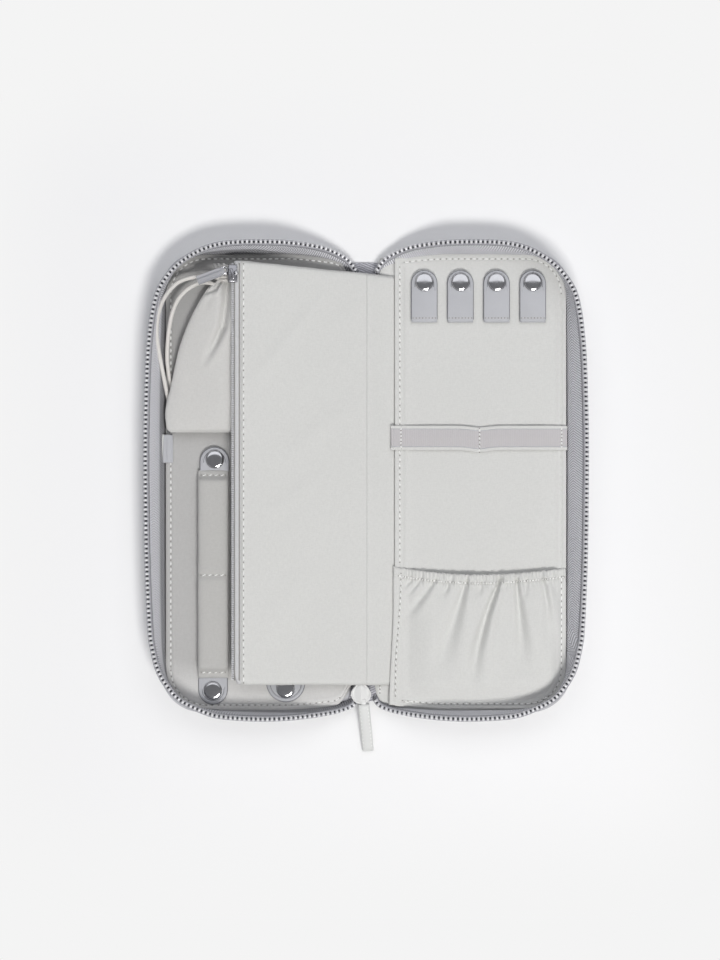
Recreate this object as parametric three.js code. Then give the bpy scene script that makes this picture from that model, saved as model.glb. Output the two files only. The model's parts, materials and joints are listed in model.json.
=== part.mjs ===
// Zip-around jewelry case, lying open and flat.
// Millimetres. X across the open case, Y along the spine, Z up.
// The origin is the centre of the spine's outer face, on the surface that the case lies on.

import * as THREE from 'three';
import { mergeVertices } from 'three/addons/utils/BufferGeometryUtils.js';

// Clearances
const SEAT_GAP = 0.3;           // between two pieces that rest on each other
const FOLD_GAP = 0.4;           // from a fold axis to the cover on each side of it

// Shell layers
const COVER_THICK = 1.2;
const BOARD_THICK = 1.4;
const LINING_THICK = 1.0;

// Leaves and spine
const LINING_EDGE_X = 100;      // outer edge of a leaf's lining
const LINING_HALF_Y = 113;
const LINING_CORNER = 20;
const COVER_MARGIN_X = 2.5;     // from the lining's edge to the cover's
const COVER_MARGIN_Y = 2;
const COVER_CORNER_EXTRA = 1;   // added to the lining's corner radius
const SPINE_STEP = 6;           // the lining's ends beside the spine are this much further in
const LEAF_SHOULDER_X = 38;     // where the leaf reaches its full length
const SPINE_HALF_X = 18;        // the two fold axes lie at plus and minus this
const SPINE_LAYER_INSET = 1;    // from the fold axis to the spine's own board and lining
const SPINE_END_INSET = 1;      // the spine ends this much before the leaves' covers
const LAYER_END_INSET = 2;      // from an end of a cover beside the spine to its board and lining
const SPINE_CORNER = 2;
const LEAF_LAYER_START = 3.2;   // from the fold axis to a leaf's board and lining

// Zip wall and its chain
const WALL_THICK = 1.2;
const WALL_START = 0.8;         // from the start of a leaf's board to the wall
const WALL_MARGIN_X = 1.45;     // from the lining's edge to the middle of the wall's foot
const WALL_MARGIN_Y = 1;
const WALL_INNER_MARGIN = 3.8;  // the same at the spine
const WALL_CORNER_EXTRA = 1;
const WALL_SHOULDER_EXTRA = 4;  // the wall reaches its full length this much after the leaf
const WALL_FLARE_X = 6.75;      // from the wall's foot out to its top edge
const WALL_FLARE_Y = 2.8;
const WALL_INNER_FLARE = 5.2;
const WALL_SHOULDER_FLARE = 4;
const WALL_CORNER_FLARE = 21;
const WALL_HEIGHT_AT_SPINE = 10;
const CHAIN_WIDTH = 2.6;
const CHAIN_THICK = 1.6;
const CLOSED_CHAIN_GAP = 0.4;   // between the two chains when the case is shut

// Zip ends on the spine and the main slider
const ZIP_END_HALF_X = 13;
const ZIP_END_LENGTH = 3.5;
const ZIP_END_HEIGHT = 2.7;
const MAIN_SLIDER_X = -2;
const MAIN_SLIDER_PAST_END = 0.2;  // from the spine's end to the slider's centre
const MAIN_SLIDER_HALF_X = 4.1;
const MAIN_SLIDER_LENGTH = 9.6;
const MAIN_SLIDER_THICK = 3;
const MAIN_PULLER_LENGTH = 22;
const MAIN_PULLER_WIDTH = 6;
const MAIN_PULLER_THICK = 2.6;
const MAIN_PULLER_DROP = 14;    // degrees below level
const MAIN_PULLER_REACH = 0.6;  // from the slider's end to the puller's hinge
const MAIN_PULLER_SINK = 0.1;   // from the slider's top down to the puller's hinge
const MAIN_PULLER_SKEW = 8;     // degrees to the right

// Zipped page
const PAGE_HINGE_X = -1;
const PAGE_HINGE_Z = 6.2;
const PAGE_LENGTH = 64.5;       // from the hinge to the outer face of the page's zip
const PAGE_TILT = 8.6;          // degrees, the free edge is raised
const PAGE_PIPING_RADIUS = 0.9;
const PAGE_TOP_ROOT_MARGIN = 11.6;     // from the lining's end to the page's top corner, by the spine
const PAGE_TOP_FREE_MARGIN = 5.5;
const PAGE_BOTTOM_ROOT_MARGIN = 11.4;
const PAGE_BOTTOM_FREE_MARGIN = 15.4;
const PAGE_ROOT_THICK = 2.4;
const PAGE_FREE_THICK = 4.4;
const PAGE_PANEL_THICK = 0.9;
const PAGE_ZIP_WIDTH = 3.4;
const PAGE_ZIP_INSET = 1.4;     // from the zip's outer face to the edge of the panels
const PAGE_HEM_THICK = 1.1;
const PAGE_HEM_RIGHT_X = 13.4;
const PAGE_SLIDER_LENGTH = 8;
const PAGE_SLIDER_WIDTH = 3.6;
const PAGE_SLIDER_THICK = 1.6;
const PAGE_SLIDER_INSET = 5;    // from the top corner of the page to the slider's centre
const PAGE_PULLER_LENGTH = 15;
const PAGE_PULLER_WIDTH = 5;
const PAGE_PULLER_THICK = 1.5;
const PAGE_PULLER_NECK_WIDTH = 2;
const PAGE_PULLER_NECK_LENGTH = 4.6;
const PAGE_PULLER_SKEW = 21;    // degrees, its free end points down the page

// Snap fasteners
const SNAP_RADIUS = 4.5;
const SNAP_HEIGHT = 1.8;
const SNAP_RIM = 0.6;
const SNAP_SOCKET_RADIUS = 2.3;
const SNAP_SOCKET_DEPTH = 1.0;
const STUD_RADIUS = 1.7;
const STUD_ABOVE_TAB = 0.5;     // how far a stud reaches above its tab
const SNAP_SIDES = 16;

// Necklace tabs
const TAB_COUNT = 4;
const TAB_FIRST_X = 29;
const TAB_PITCH = 18;
const TAB_WIDTH = 12.7;
const TAB_LENGTH = 25.8;
const TAB_TOP_MARGIN = 7;       // from the lining's end to the tab's rounded end
const TAB_THICK = 1.0;
const TAB_SNAP_INSET = 6.5;     // from the rounded end to the snap's centre

// Elastic strap and gathered pocket
const ELASTIC_WIDTH = 11.5;
const ELASTIC_THICK = 1.1;
const ELASTIC_Y = 22;
const POCKET_TOP_Y = -43;
const POCKET_SAG = 4;           // the mouth is lower in the middle
const POCKET_BOTTOM_Y = -111.5;
const POCKET_EDGE_X = 99.2;
const POCKET_THICK = 1.1;
const POCKET_BULGE = 5.2;
const POCKET_MARGIN = 9;        // width of the slope at the outer edge and at the bottom
const POCKET_INNER_MARGIN = 24; // width of the slope beside the spine

// Ring bar and earring bar
const RING_BAR_X = -76.2;
const RING_BAR_WIDTH = 15.2;
const RING_BAR_THICK = 6.4;
const RING_BAR_TOP_Y = 6;
const RING_BAR_BOTTOM_MARGIN = 15.6;   // from the lining's end
const RING_BAR_END_THICK = 1.4;
const RING_BAR_END_SLOPE = 7;
const RING_TAB_BOTTOM_MARGIN = 14.9;
const RING_TAB_WIDTH = 14.2;
const RING_TAB_LENGTH = 12.4;
const RING_SNAP_INSET = 6.6;
const EARRING_X = -40;
const EARRING_WIDTH = 17;
const EARRING_THICK = 3;
const EARRING_TOP_Y = -12;
const EARRING_BOTTOM_MARGIN = 16.2;
const EARRING_TAB_MARGIN = 15.8;
const EARRING_TAB_WIDTH = 19;

// Inner zip pocket
const INNER_ZIP_Y = 26.6;
const INNER_ZIP_LEFT_X = -94;
const INNER_ZIP_RIGHT_X = -38;
const INNER_ZIP_WIDTH = 3;
const INNER_ZIP_THICK = 0.7;
const INNER_SLIDER_LENGTH = 5;
const INNER_SLIDER_WIDTH = 4.4;
const INNER_SLIDER_THICK = 1.6;
const INNER_PULLER_X = -98.6;
const INNER_PULLER_Y = 23.6;    // its hinge
const INNER_PULLER_WIDTH = 5;
const INNER_PULLER_LENGTH = 14;
const INNER_PULLER_THICK = 1.3;

// Drawstring pouch
const POUCH_X = -67;
const POUCH_MID_Z = 8.2;
const POUCH_DEPTH_BELOW = 4;
const POUCH_HEIGHT_ABOVE = 4.6;
const POUCH_LEAN = 0.06;        // the side under the page lies lower
const POUCH_BOTTOM_Y = 24.6;
const POUCH_LENGTH = 83.9;
const POUCH_HALF_WIDTH = 32.8;
const POUCH_OUTLINE = [         // shares of the length, of the half width and of the thickness
  [0, 0.93, 0.35],
  [0.0405, 0.988, 0.75],
  [0.136, 1, 1],
  [0.285, 0.915, 1],
  [0.4935, 0.762, 1],
  [0.6425, 0.61, 0.95],
  [0.7617, 0.442, 0.85],
  [0.851, 0.259, 0.7],
  [0.9106, 0.14, 0.5],
  [0.9523, 0.171, 0.5],
  [1, 0.232, 0.55],
];
const POUCH_SECTION_SIDES = 16;

// Drawstring: one soft cord whose two ends leave the pouch's neck on the left
const CORD_RADIUS = 1;
const CORD_SIDES = 8;
const CORD_STEP = 5;
const CORD_A_POINTS = [
  [-72.9, 101, 9.2], [-78, 102.4, 9.8], [-85, 101.6, 10.6], [-92.4, 99.2, 11.6], [-97.6, 94.4, 12.2],
  [-101, 88.6, 12.8], [-103.2, 80.6, 13], [-103.5, 72, 12.8], [-102.6, 64.8, 11.4], [-101.2, 56.2, 9.2],
  [-99.6, 47, 6.6], [-98.6, 42, 5.2], [-97.8, 38.6, 4.95],
];
const CORD_B_POINTS = [
  [-75.3, 98, 9.2], [-78.2, 98.8, 9.8], [-82.5, 98.6, 10.4], [-88.2, 95.6, 11], [-92.8, 90.8, 11.2],
  [-95.8, 84.4, 11], [-97.6, 76.2, 10.2], [-98.6, 67.4, 9], [-98.8, 60, 7.6], [-98, 52.4, 5.8],
  [-96.4, 45.6, 4.95], [-95.6, 41.2, 4.9], [-95, 38.6, 4.9],
];
const KNOT_CENTRE = [-96.4, 35.2, 4.95];
const KNOT_RADII = [2.9, 2.9, 1.15];

// Values worked out from the sizes above
const LEAF_EDGE_X = LINING_EDGE_X + COVER_MARGIN_X;
const LEAF_HALF_Y = LINING_HALF_Y + COVER_MARGIN_Y;
const LEAF_CORNER = LINING_CORNER + COVER_CORNER_EXTRA;
const LAYER_INNER_HALF_Y = LINING_HALF_Y - SPINE_STEP - SPINE_END_INSET;
const LEAF_INNER_HALF_Y = LAYER_INNER_HALF_Y + LAYER_END_INSET;
const SPINE_HALF_Y = LEAF_INNER_HALF_Y - SPINE_END_INSET;
const SPINE_LAYER_HALF_X = SPINE_HALF_X - SPINE_LAYER_INSET;
const MAIN_SLIDER_Y = -SPINE_HALF_Y - MAIN_SLIDER_PAST_END;
const FOLD_Z = COVER_THICK;
const BOARD_Z = COVER_THICK;
const LINING_Z = BOARD_Z + BOARD_THICK;
const INSIDE_Z = LINING_Z + LINING_THICK;
const WALL_BASE_Z = COVER_THICK + SEAT_GAP;
const CHAIN_TOP_Z = FOLD_Z + SPINE_HALF_X - CLOSED_CHAIN_GAP / 2;
const WALL_TOP_Z = CHAIN_TOP_Z - CHAIN_THICK - SEAT_GAP;
const LEAF_COVER_X = SPINE_HALF_X + FOLD_GAP;
const SPINE_COVER_HALF_X = SPINE_HALF_X - FOLD_GAP;
const LEAF_LAYER_X = SPINE_HALF_X + LEAF_LAYER_START;
const WALL_START_X = LEAF_LAYER_X + WALL_START;
const WALL_BASE_EDGE_X = LINING_EDGE_X + WALL_MARGIN_X;
const WALL_BASE_HALF_Y = LINING_HALF_Y + WALL_MARGIN_Y;
const WALL_BASE_INNER_Y = LAYER_INNER_HALF_Y + WALL_INNER_MARGIN;
const WALL_BASE_SHOULDER_X = LEAF_SHOULDER_X + WALL_SHOULDER_EXTRA;
const WALL_BASE_CORNER = LINING_CORNER + WALL_CORNER_EXTRA;
const WALL_TOP_EDGE_X = WALL_BASE_EDGE_X + WALL_FLARE_X;
const WALL_TOP_HALF_Y = WALL_BASE_HALF_Y + WALL_FLARE_Y;
const WALL_TOP_INNER_Y = WALL_BASE_INNER_Y + WALL_INNER_FLARE;
const WALL_TOP_SHOULDER_X = WALL_BASE_SHOULDER_X + WALL_SHOULDER_FLARE;
const WALL_TOP_CORNER = WALL_BASE_CORNER + WALL_CORNER_FLARE;
const ON_LINING_Z = INSIDE_Z + SEAT_GAP;
const PAGE_TOP_ROOT_Y = LINING_HALF_Y - PAGE_TOP_ROOT_MARGIN;
const PAGE_TOP_FREE_Y = LINING_HALF_Y - PAGE_TOP_FREE_MARGIN;
const PAGE_BOTTOM_ROOT_Y = -LINING_HALF_Y + PAGE_BOTTOM_ROOT_MARGIN;
const PAGE_BOTTOM_FREE_Y = -LINING_HALF_Y + PAGE_BOTTOM_FREE_MARGIN;
const TAB_TOP_Y = LINING_HALF_Y - TAB_TOP_MARGIN;
const TAB_FOLD_Y = TAB_TOP_Y - TAB_LENGTH;
const RING_BAR_BOTTOM_Y = -LINING_HALF_Y + RING_BAR_BOTTOM_MARGIN;
const RING_TAB_BOTTOM_Y = -LINING_HALF_Y + RING_TAB_BOTTOM_MARGIN;
const EARRING_BOTTOM_Y = -LINING_HALF_Y + EARRING_BOTTOM_MARGIN;
const EARRING_TAB_Y = -LINING_HALF_Y + EARRING_TAB_MARGIN;
const TAB_FRONT_Z = INSIDE_Z + TAB_THICK + SEAT_GAP;
const STUD_TOP_Z = TAB_FRONT_Z + TAB_THICK + STUD_ABOVE_TAB;

// Colours
const COLOURS = {
  cover: 0xbcbcbd,
  board: 0x8d8a86,
  lining: 0xd9d9d6,
  tape: 0xb6b6ba,
  teeth: 0xc9c9cb,
  tab: 0xb6b7ba,
  metal: 0xc4c4c6,
  cord: 0xe4e0d9,
  puller: 0xdedfdd,
  elastic: 0xb7b3b8,
};

const caseGroup = new THREE.Group();
const radians = THREE.MathUtils.degToRad;

// One closed body: shared corners are merged and the faces are turned outwards.
function closedBody(geometry) {
  const bare = new THREE.BufferGeometry();
  bare.setAttribute('position', geometry.getAttribute('position').clone());
  if (geometry.index) bare.setIndex(geometry.index.clone());
  const merged = mergeVertices(bare, 1e-4);
  const place = merged.getAttribute('position');
  const corners = merged.index.array;
  const a = new THREE.Vector3();
  const b = new THREE.Vector3();
  const c = new THREE.Vector3();
  const kept = [];
  let volume = 0;
  for (let i = 0; i < corners.length; i += 3) {
    const [ia, ib, ic] = [corners[i], corners[i + 1], corners[i + 2]];
    if (ia === ib || ib === ic || ia === ic) continue;
    a.fromBufferAttribute(place, ia);
    b.fromBufferAttribute(place, ib);
    c.fromBufferAttribute(place, ic);
    volume += a.dot(b.cross(c));
    kept.push(ia, ib, ic);
  }
  if (volume < 0) kept.reverse();
  merged.setIndex(kept);
  merged.computeVertexNormals();
  return merged;
}

function addPiece(name, geometry, colour, roughness = 0.85, metalness = 0, parent = caseGroup) {
  const material = new THREE.MeshStandardMaterial({ color: colour, roughness, metalness });
  const mesh = new THREE.Mesh(closedBody(geometry), material);
  mesh.name = name;
  parent.add(mesh);
  return mesh;
}

function bodyFrom(points, faces) {
  const geometry = new THREE.BufferGeometry().setFromPoints(points);
  geometry.setIndex(faces);
  return geometry;
}

// A body through a row of convex rings with the same number of corners.
function loft(rings) {
  const sides = rings[0].length;
  const faces = [];
  for (let r = 0; r < rings.length - 1; r += 1) {
    for (let s = 0; s < sides; s += 1) {
      const next = (s + 1) % sides;
      const a = r * sides + s;
      const b = r * sides + next;
      faces.push(a, b, b + sides, a, b + sides, a + sides);
    }
  }
  const last = (rings.length - 1) * sides;
  for (let s = 1; s < sides - 1; s += 1) {
    faces.push(0, s + 1, s);
    faces.push(last, last + s, last + s + 1);
  }
  return bodyFrom(rings.flat(), faces);
}

// A sheet with a lower and an upper surface over the same grid.
function sheetBody(columns, rows, lower, upper) {
  const points = [];
  for (const surface of [lower, upper]) {
    for (let j = 0; j <= rows; j += 1) {
      for (let i = 0; i <= columns; i += 1) points.push(surface(i / columns, j / rows));
    }
  }
  const stride = columns + 1;
  const layer = stride * (rows + 1);
  const at = (i, j, k) => k * layer + j * stride + i;
  const faces = [];
  const quad = (a, b, c, d) => faces.push(a, b, c, a, c, d);
  for (let j = 0; j < rows; j += 1) {
    for (let i = 0; i < columns; i += 1) {
      quad(at(i, j, 1), at(i + 1, j, 1), at(i + 1, j + 1, 1), at(i, j + 1, 1));
      quad(at(i, j, 0), at(i, j + 1, 0), at(i + 1, j + 1, 0), at(i + 1, j, 0));
    }
  }
  for (let i = 0; i < columns; i += 1) {
    quad(at(i, 0, 0), at(i + 1, 0, 0), at(i + 1, 0, 1), at(i, 0, 1));
    quad(at(i, rows, 0), at(i, rows, 1), at(i + 1, rows, 1), at(i + 1, rows, 0));
  }
  for (let j = 0; j < rows; j += 1) {
    quad(at(0, j, 0), at(0, j, 1), at(0, j + 1, 1), at(0, j + 1, 0));
    quad(at(columns, j, 0), at(columns, j + 1, 0), at(columns, j + 1, 1), at(columns, j, 1));
  }
  return bodyFrom(points, faces);
}

function plate(shape, z, thickness, curveSegments = 8) {
  const settings = { depth: thickness, bevelEnabled: false, curveSegments };
  return new THREE.ExtrudeGeometry(shape, settings).translate(0, 0, z);
}

function box(width, depth, height) {
  return new THREE.BoxGeometry(width, depth, height);
}

function mirrored(geometry, side) {
  return geometry.scale(side, 1, 1);
}

// Outline of a leaf on the right: round outer corners, and shorter beside the spine.
function leafShape({ innerX, edgeX, halfY, corner, innerHalfY, shoulderX }) {
  const shape = new THREE.Shape();
  const bendX = (innerX + shoulderX) / 2;
  shape.moveTo(innerX, -innerHalfY);
  shape.quadraticCurveTo(bendX, -halfY, shoulderX, -halfY);
  shape.lineTo(edgeX - corner, -halfY);
  shape.absarc(edgeX - corner, corner - halfY, corner, -Math.PI / 2, 0, false);
  shape.lineTo(edgeX, halfY - corner);
  shape.absarc(edgeX - corner, halfY - corner, corner, 0, Math.PI / 2, false);
  shape.lineTo(shoulderX, halfY);
  shape.quadraticCurveTo(bendX, halfY, innerX, innerHalfY);
  shape.closePath();
  return shape;
}

// Half of a rim line, from the spine at the top, over the outer corner, to the middle of the side.
function rimQuarter({ innerX, edgeX, halfY, corner, innerHalfY, shoulderX }) {
  const points = [];
  const bend = new THREE.QuadraticBezierCurve(
    new THREE.Vector2(innerX, innerHalfY),
    new THREE.Vector2((innerX + shoulderX) / 2, halfY),
    new THREE.Vector2(shoulderX, halfY),
  );
  const bendSteps = 5;
  const topSteps = 4;
  const cornerSteps = 9;
  const sideSteps = 4;
  for (let i = 0; i < bendSteps; i += 1) points.push(bend.getPoint(i / bendSteps));
  for (let i = 0; i < topSteps; i += 1) {
    const x = THREE.MathUtils.lerp(shoulderX, edgeX - corner, i / topSteps);
    points.push(new THREE.Vector2(x, halfY));
  }
  for (let i = 0; i < cornerSteps; i += 1) {
    const turn = Math.PI / 2 * (1 - i / cornerSteps);
    const x = edgeX - corner + corner * Math.cos(turn);
    const y = halfY - corner + corner * Math.sin(turn);
    points.push(new THREE.Vector2(x, y));
  }
  for (let i = 0; i <= sideSteps; i += 1) {
    points.push(new THREE.Vector2(edgeX, (halfY - corner) * (1 - i / sideSteps)));
  }
  return points;
}

function rimLine(sizes) {
  const quarter = rimQuarter(sizes);
  const lower = quarter.slice(0, -1).reverse().map((p) => new THREE.Vector2(p.x, -p.y));
  return quarter.concat(lower);
}

// Unit vectors that point out of the case, one for each point of a rim line.
function outwardAlong(line) {
  return line.map((point, i) => {
    const before = line[Math.max(i - 1, 0)];
    const after = line[Math.min(i + 1, line.length - 1)];
    const along = after.clone().sub(before).normalize();
    return new THREE.Vector2(-along.y, along.x);
  });
}

const WALL_BASE_LINE = rimLine({
  innerX: WALL_START_X,
  edgeX: WALL_BASE_EDGE_X,
  halfY: WALL_BASE_HALF_Y,
  corner: WALL_BASE_CORNER,
  innerHalfY: WALL_BASE_INNER_Y,
  shoulderX: WALL_BASE_SHOULDER_X,
});
const WALL_TOP_LINE = rimLine({
  innerX: WALL_START_X,
  edgeX: WALL_TOP_EDGE_X,
  halfY: WALL_TOP_HALF_Y,
  corner: WALL_TOP_CORNER,
  innerHalfY: WALL_TOP_INNER_Y,
  shoulderX: WALL_TOP_SHOULDER_X,
});

// Height of the wall's top edge, which rises as it leaves the spine.
function wallTopZ(x) {
  const rise = THREE.MathUtils.smoothstep(x, WALL_START_X, WALL_TOP_SHOULDER_X);
  return THREE.MathUtils.lerp(WALL_HEIGHT_AT_SPINE, WALL_TOP_Z, rise);
}

function wallBody() {
  const baseOut = outwardAlong(WALL_BASE_LINE);
  const topOut = outwardAlong(WALL_TOP_LINE);
  const half = WALL_THICK / 2;
  const rings = WALL_BASE_LINE.map((base, i) => {
    const top = WALL_TOP_LINE[i];
    const topZ = wallTopZ(top.x);
    const corner = (p, out, shift, z) => new THREE.Vector3(p.x + out.x * shift, p.y + out.y * shift, z);
    return [
      corner(base, baseOut[i], -half, WALL_BASE_Z),
      corner(base, baseOut[i], half, WALL_BASE_Z),
      corner(top, topOut[i], half, topZ),
      corner(top, topOut[i], -half, topZ),
    ];
  });
  return loft(rings);
}

function chainBody() {
  const out = outwardAlong(WALL_TOP_LINE);
  const half = CHAIN_WIDTH / 2;
  const rings = WALL_TOP_LINE.map((p, i) => {
    const low = wallTopZ(p.x) + SEAT_GAP;
    const corner = (shift, z) => new THREE.Vector3(p.x + out[i].x * shift, p.y + out[i].y * shift, z);
    return [
      corner(-half, low),
      corner(half, low),
      corner(half, low + CHAIN_THICK),
      corner(-half, low + CHAIN_THICK),
    ];
  });
  return loft(rings);
}

function addLeafShell(name, side) {
  const coverShape = leafShape({
    innerX: LEAF_COVER_X,
    edgeX: LEAF_EDGE_X,
    halfY: LEAF_HALF_Y,
    corner: LEAF_CORNER,
    innerHalfY: LEAF_INNER_HALF_Y,
    shoulderX: LEAF_SHOULDER_X,
  });
  const layerShape = leafShape({
    innerX: LEAF_LAYER_X,
    edgeX: LINING_EDGE_X,
    halfY: LINING_HALF_Y,
    corner: LINING_CORNER,
    innerHalfY: LAYER_INNER_HALF_Y,
    shoulderX: LEAF_SHOULDER_X,
  });
  addPiece(`${name}_cover`, mirrored(plate(coverShape, 0, COVER_THICK), side), COLOURS.cover, 0.6);
  addPiece(`${name}_board`, mirrored(plate(layerShape, BOARD_Z, BOARD_THICK), side), COLOURS.board);
  addPiece(`${name}_lining`, mirrored(plate(layerShape, LINING_Z, LINING_THICK), side), COLOURS.lining);
  addPiece(`${name}_gusset`, mirrored(wallBody(), side), COLOURS.tape);
  addPiece(`${name}_zip_chain`, mirrored(chainBody(), side), COLOURS.teeth, 0.35, 0.9);
}

function roundedRectangle(halfX, halfY, corner) {
  const shape = new THREE.Shape();
  shape.moveTo(-halfX + corner, -halfY);
  shape.lineTo(halfX - corner, -halfY);
  shape.absarc(halfX - corner, corner - halfY, corner, -Math.PI / 2, 0, false);
  shape.lineTo(halfX, halfY - corner);
  shape.absarc(halfX - corner, halfY - corner, corner, 0, Math.PI / 2, false);
  shape.lineTo(corner - halfX, halfY);
  shape.absarc(corner - halfX, halfY - corner, corner, Math.PI / 2, Math.PI, false);
  shape.lineTo(-halfX, corner - halfY);
  shape.absarc(corner - halfX, corner - halfY, corner, Math.PI, Math.PI * 1.5, false);
  return shape;
}

function addSpine() {
  const coverShape = roundedRectangle(SPINE_COVER_HALF_X, SPINE_HALF_Y, SPINE_CORNER);
  const layerShape = roundedRectangle(SPINE_LAYER_HALF_X, SPINE_HALF_Y - LAYER_END_INSET, SPINE_CORNER);
  addPiece('spine_cover', plate(coverShape, 0, COVER_THICK, 4), COLOURS.cover, 0.6);
  addPiece('spine_board', plate(layerShape, BOARD_Z, BOARD_THICK, 4), COLOURS.board);
  addPiece('spine_lining', plate(layerShape, LINING_Z, LINING_THICK, 4), COLOURS.lining);
}

// The zip's two ends are sewn across the ends of the spine.
function addZipEnds() {
  const centreY = SPINE_HALF_Y - LAYER_END_INSET + SEAT_GAP + ZIP_END_LENGTH / 2;
  for (const [name, side] of [['zip_end_top', 1], ['zip_end_bottom', -1]]) {
    const geometry = box(2 * ZIP_END_HALF_X, ZIP_END_LENGTH, ZIP_END_HEIGHT);
    geometry.translate(0, side * centreY, WALL_BASE_Z + ZIP_END_HEIGHT / 2);
    addPiece(name, geometry, COLOURS.tape);
  }
}

const MAIN_SLIDER_Z = WALL_BASE_Z + ZIP_END_HEIGHT + SEAT_GAP;

function addMainSlider() {
  const halfY = MAIN_SLIDER_LENGTH / 2;
  const shape = roundedRectangle(MAIN_SLIDER_HALF_X, halfY, MAIN_SLIDER_HALF_X * 0.8);
  const slider = addPiece('main_slider', plate(shape, 0, MAIN_SLIDER_THICK, 4), COLOURS.puller, 0.45);
  slider.position.set(MAIN_SLIDER_X, MAIN_SLIDER_Y, MAIN_SLIDER_Z);

  const strip = roundedRectangle(MAIN_PULLER_WIDTH / 2, MAIN_PULLER_LENGTH / 2, 1.2);
  const geometry = plate(strip, -MAIN_PULLER_THICK / 2, MAIN_PULLER_THICK, 3);
  geometry.translate(0, -MAIN_PULLER_LENGTH / 2 - SEAT_GAP, 0);
  geometry.rotateX(radians(MAIN_PULLER_DROP));
  geometry.rotateZ(radians(MAIN_PULLER_SKEW));
  const puller = addPiece('main_puller_strip', geometry, COLOURS.puller, 0.6);
  const hingeY = MAIN_SLIDER_Y - halfY - MAIN_PULLER_REACH;
  puller.position.set(MAIN_SLIDER_X, hingeY, MAIN_SLIDER_Z + MAIN_SLIDER_THICK - MAIN_PULLER_SINK);
}

// Half thickness of the page at a distance from its hinge.
function pageHalfThick(distance) {
  const share = THREE.MathUtils.smoothstep(distance, 0, PAGE_LENGTH);
  return THREE.MathUtils.lerp(PAGE_ROOT_THICK, PAGE_FREE_THICK, share) / 2;
}

function addPage() {
  const page = new THREE.Group();
  page.position.set(PAGE_HINGE_X, 0, PAGE_HINGE_Z);
  page.rotation.y = radians(PAGE_TILT);
  caseGroup.add(page);

  const pipingTopY = Math.min(PAGE_TOP_ROOT_Y, PAGE_TOP_FREE_Y) - 1;
  const pipingLength = pipingTopY - PAGE_BOTTOM_ROOT_Y - 1;
  const piping = new THREE.CylinderGeometry(PAGE_PIPING_RADIUS, PAGE_PIPING_RADIUS, pipingLength, 10);
  piping.translate(0, pipingTopY - pipingLength / 2, 0);
  addPiece('page_piping', piping, COLOURS.lining, 0.9, 0, page);

  const near = PAGE_PIPING_RADIUS + SEAT_GAP;
  const far = PAGE_LENGTH - PAGE_ZIP_INSET;
  const surface = (side, depth) => (u, v) => {
    const distance = THREE.MathUtils.lerp(near, far, u);
    const share = distance / PAGE_LENGTH;
    const topY = THREE.MathUtils.lerp(PAGE_TOP_ROOT_Y, PAGE_TOP_FREE_Y, share);
    const bottomY = THREE.MathUtils.lerp(PAGE_BOTTOM_ROOT_Y, PAGE_BOTTOM_FREE_Y, share);
    const y = THREE.MathUtils.lerp(bottomY, topY, v);
    return new THREE.Vector3(-distance, y, side * (pageHalfThick(distance) - depth));
  };
  for (const [name, side] of [['page_front_panel', 1], ['page_back_panel', -1]]) {
    const panel = sheetBody(6, 4, surface(side, PAGE_PANEL_THICK), surface(side, 0));
    addPiece(name, panel, COLOURS.lining, 0.9, 0, page);
  }

  const zipHalfThick = pageHalfThick(far) - PAGE_PANEL_THICK - SEAT_GAP - 0.15;
  const zipLength = PAGE_TOP_FREE_Y - PAGE_BOTTOM_FREE_Y - 2;
  const zipMidY = (PAGE_TOP_FREE_Y + PAGE_BOTTOM_FREE_Y) / 2;
  const zip = box(PAGE_ZIP_WIDTH, zipLength, 2 * zipHalfThick);
  zip.translate(PAGE_ZIP_WIDTH / 2 - PAGE_LENGTH, zipMidY, 0);
  addPiece('page_zip_chain', zip, COLOURS.teeth, 0.4, 0.8, page);

  const sliderY = PAGE_TOP_FREE_Y - PAGE_SLIDER_INSET;
  const sliderShape = roundedRectangle(PAGE_SLIDER_WIDTH / 2, PAGE_SLIDER_LENGTH / 2, 1.2);
  const slider = plate(sliderShape, 0, PAGE_SLIDER_THICK, 3);
  slider.rotateY(-Math.PI / 2);
  slider.translate(-PAGE_LENGTH - SEAT_GAP, sliderY, 0);
  addPiece('page_zip_slider', slider, COLOURS.metal, 0.3, 1, page);

  const pivot = new THREE.Object3D();
  const pivotDistance = PAGE_LENGTH + SEAT_GAP + PAGE_SLIDER_THICK + SEAT_GAP + PAGE_PULLER_NECK_WIDTH / 2;
  pivot.position.set(-pivotDistance, sliderY, 0);
  page.add(pivot);
  page.updateMatrixWorld(true);
  const puller = addPiece('page_puller', pagePullerBody(), COLOURS.tab, 0.6);
  pivot.getWorldPosition(puller.position);
}

// The small leather puller lies level and points left and a little down the page.
function pagePullerBody() {
  const neck = PAGE_PULLER_NECK_WIDTH / 2;
  const wide = PAGE_PULLER_WIDTH / 2;
  const end = PAGE_PULLER_LENGTH;
  const round = 1;
  const shape = new THREE.Shape();
  shape.moveTo(0, -neck);
  shape.lineTo(PAGE_PULLER_NECK_LENGTH, -neck);
  shape.lineTo(PAGE_PULLER_NECK_LENGTH, -wide);
  shape.lineTo(end - round, -wide);
  shape.absarc(end - round, round - wide, round, -Math.PI / 2, 0, false);
  shape.absarc(end - round, wide - round, round, 0, Math.PI / 2, false);
  shape.lineTo(PAGE_PULLER_NECK_LENGTH, wide);
  shape.lineTo(PAGE_PULLER_NECK_LENGTH, neck);
  shape.lineTo(0, neck);
  const geometry = plate(shape, -PAGE_PULLER_THICK / 2, PAGE_PULLER_THICK, 3);
  return geometry.rotateZ(Math.PI + radians(PAGE_PULLER_SKEW));
}

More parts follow.
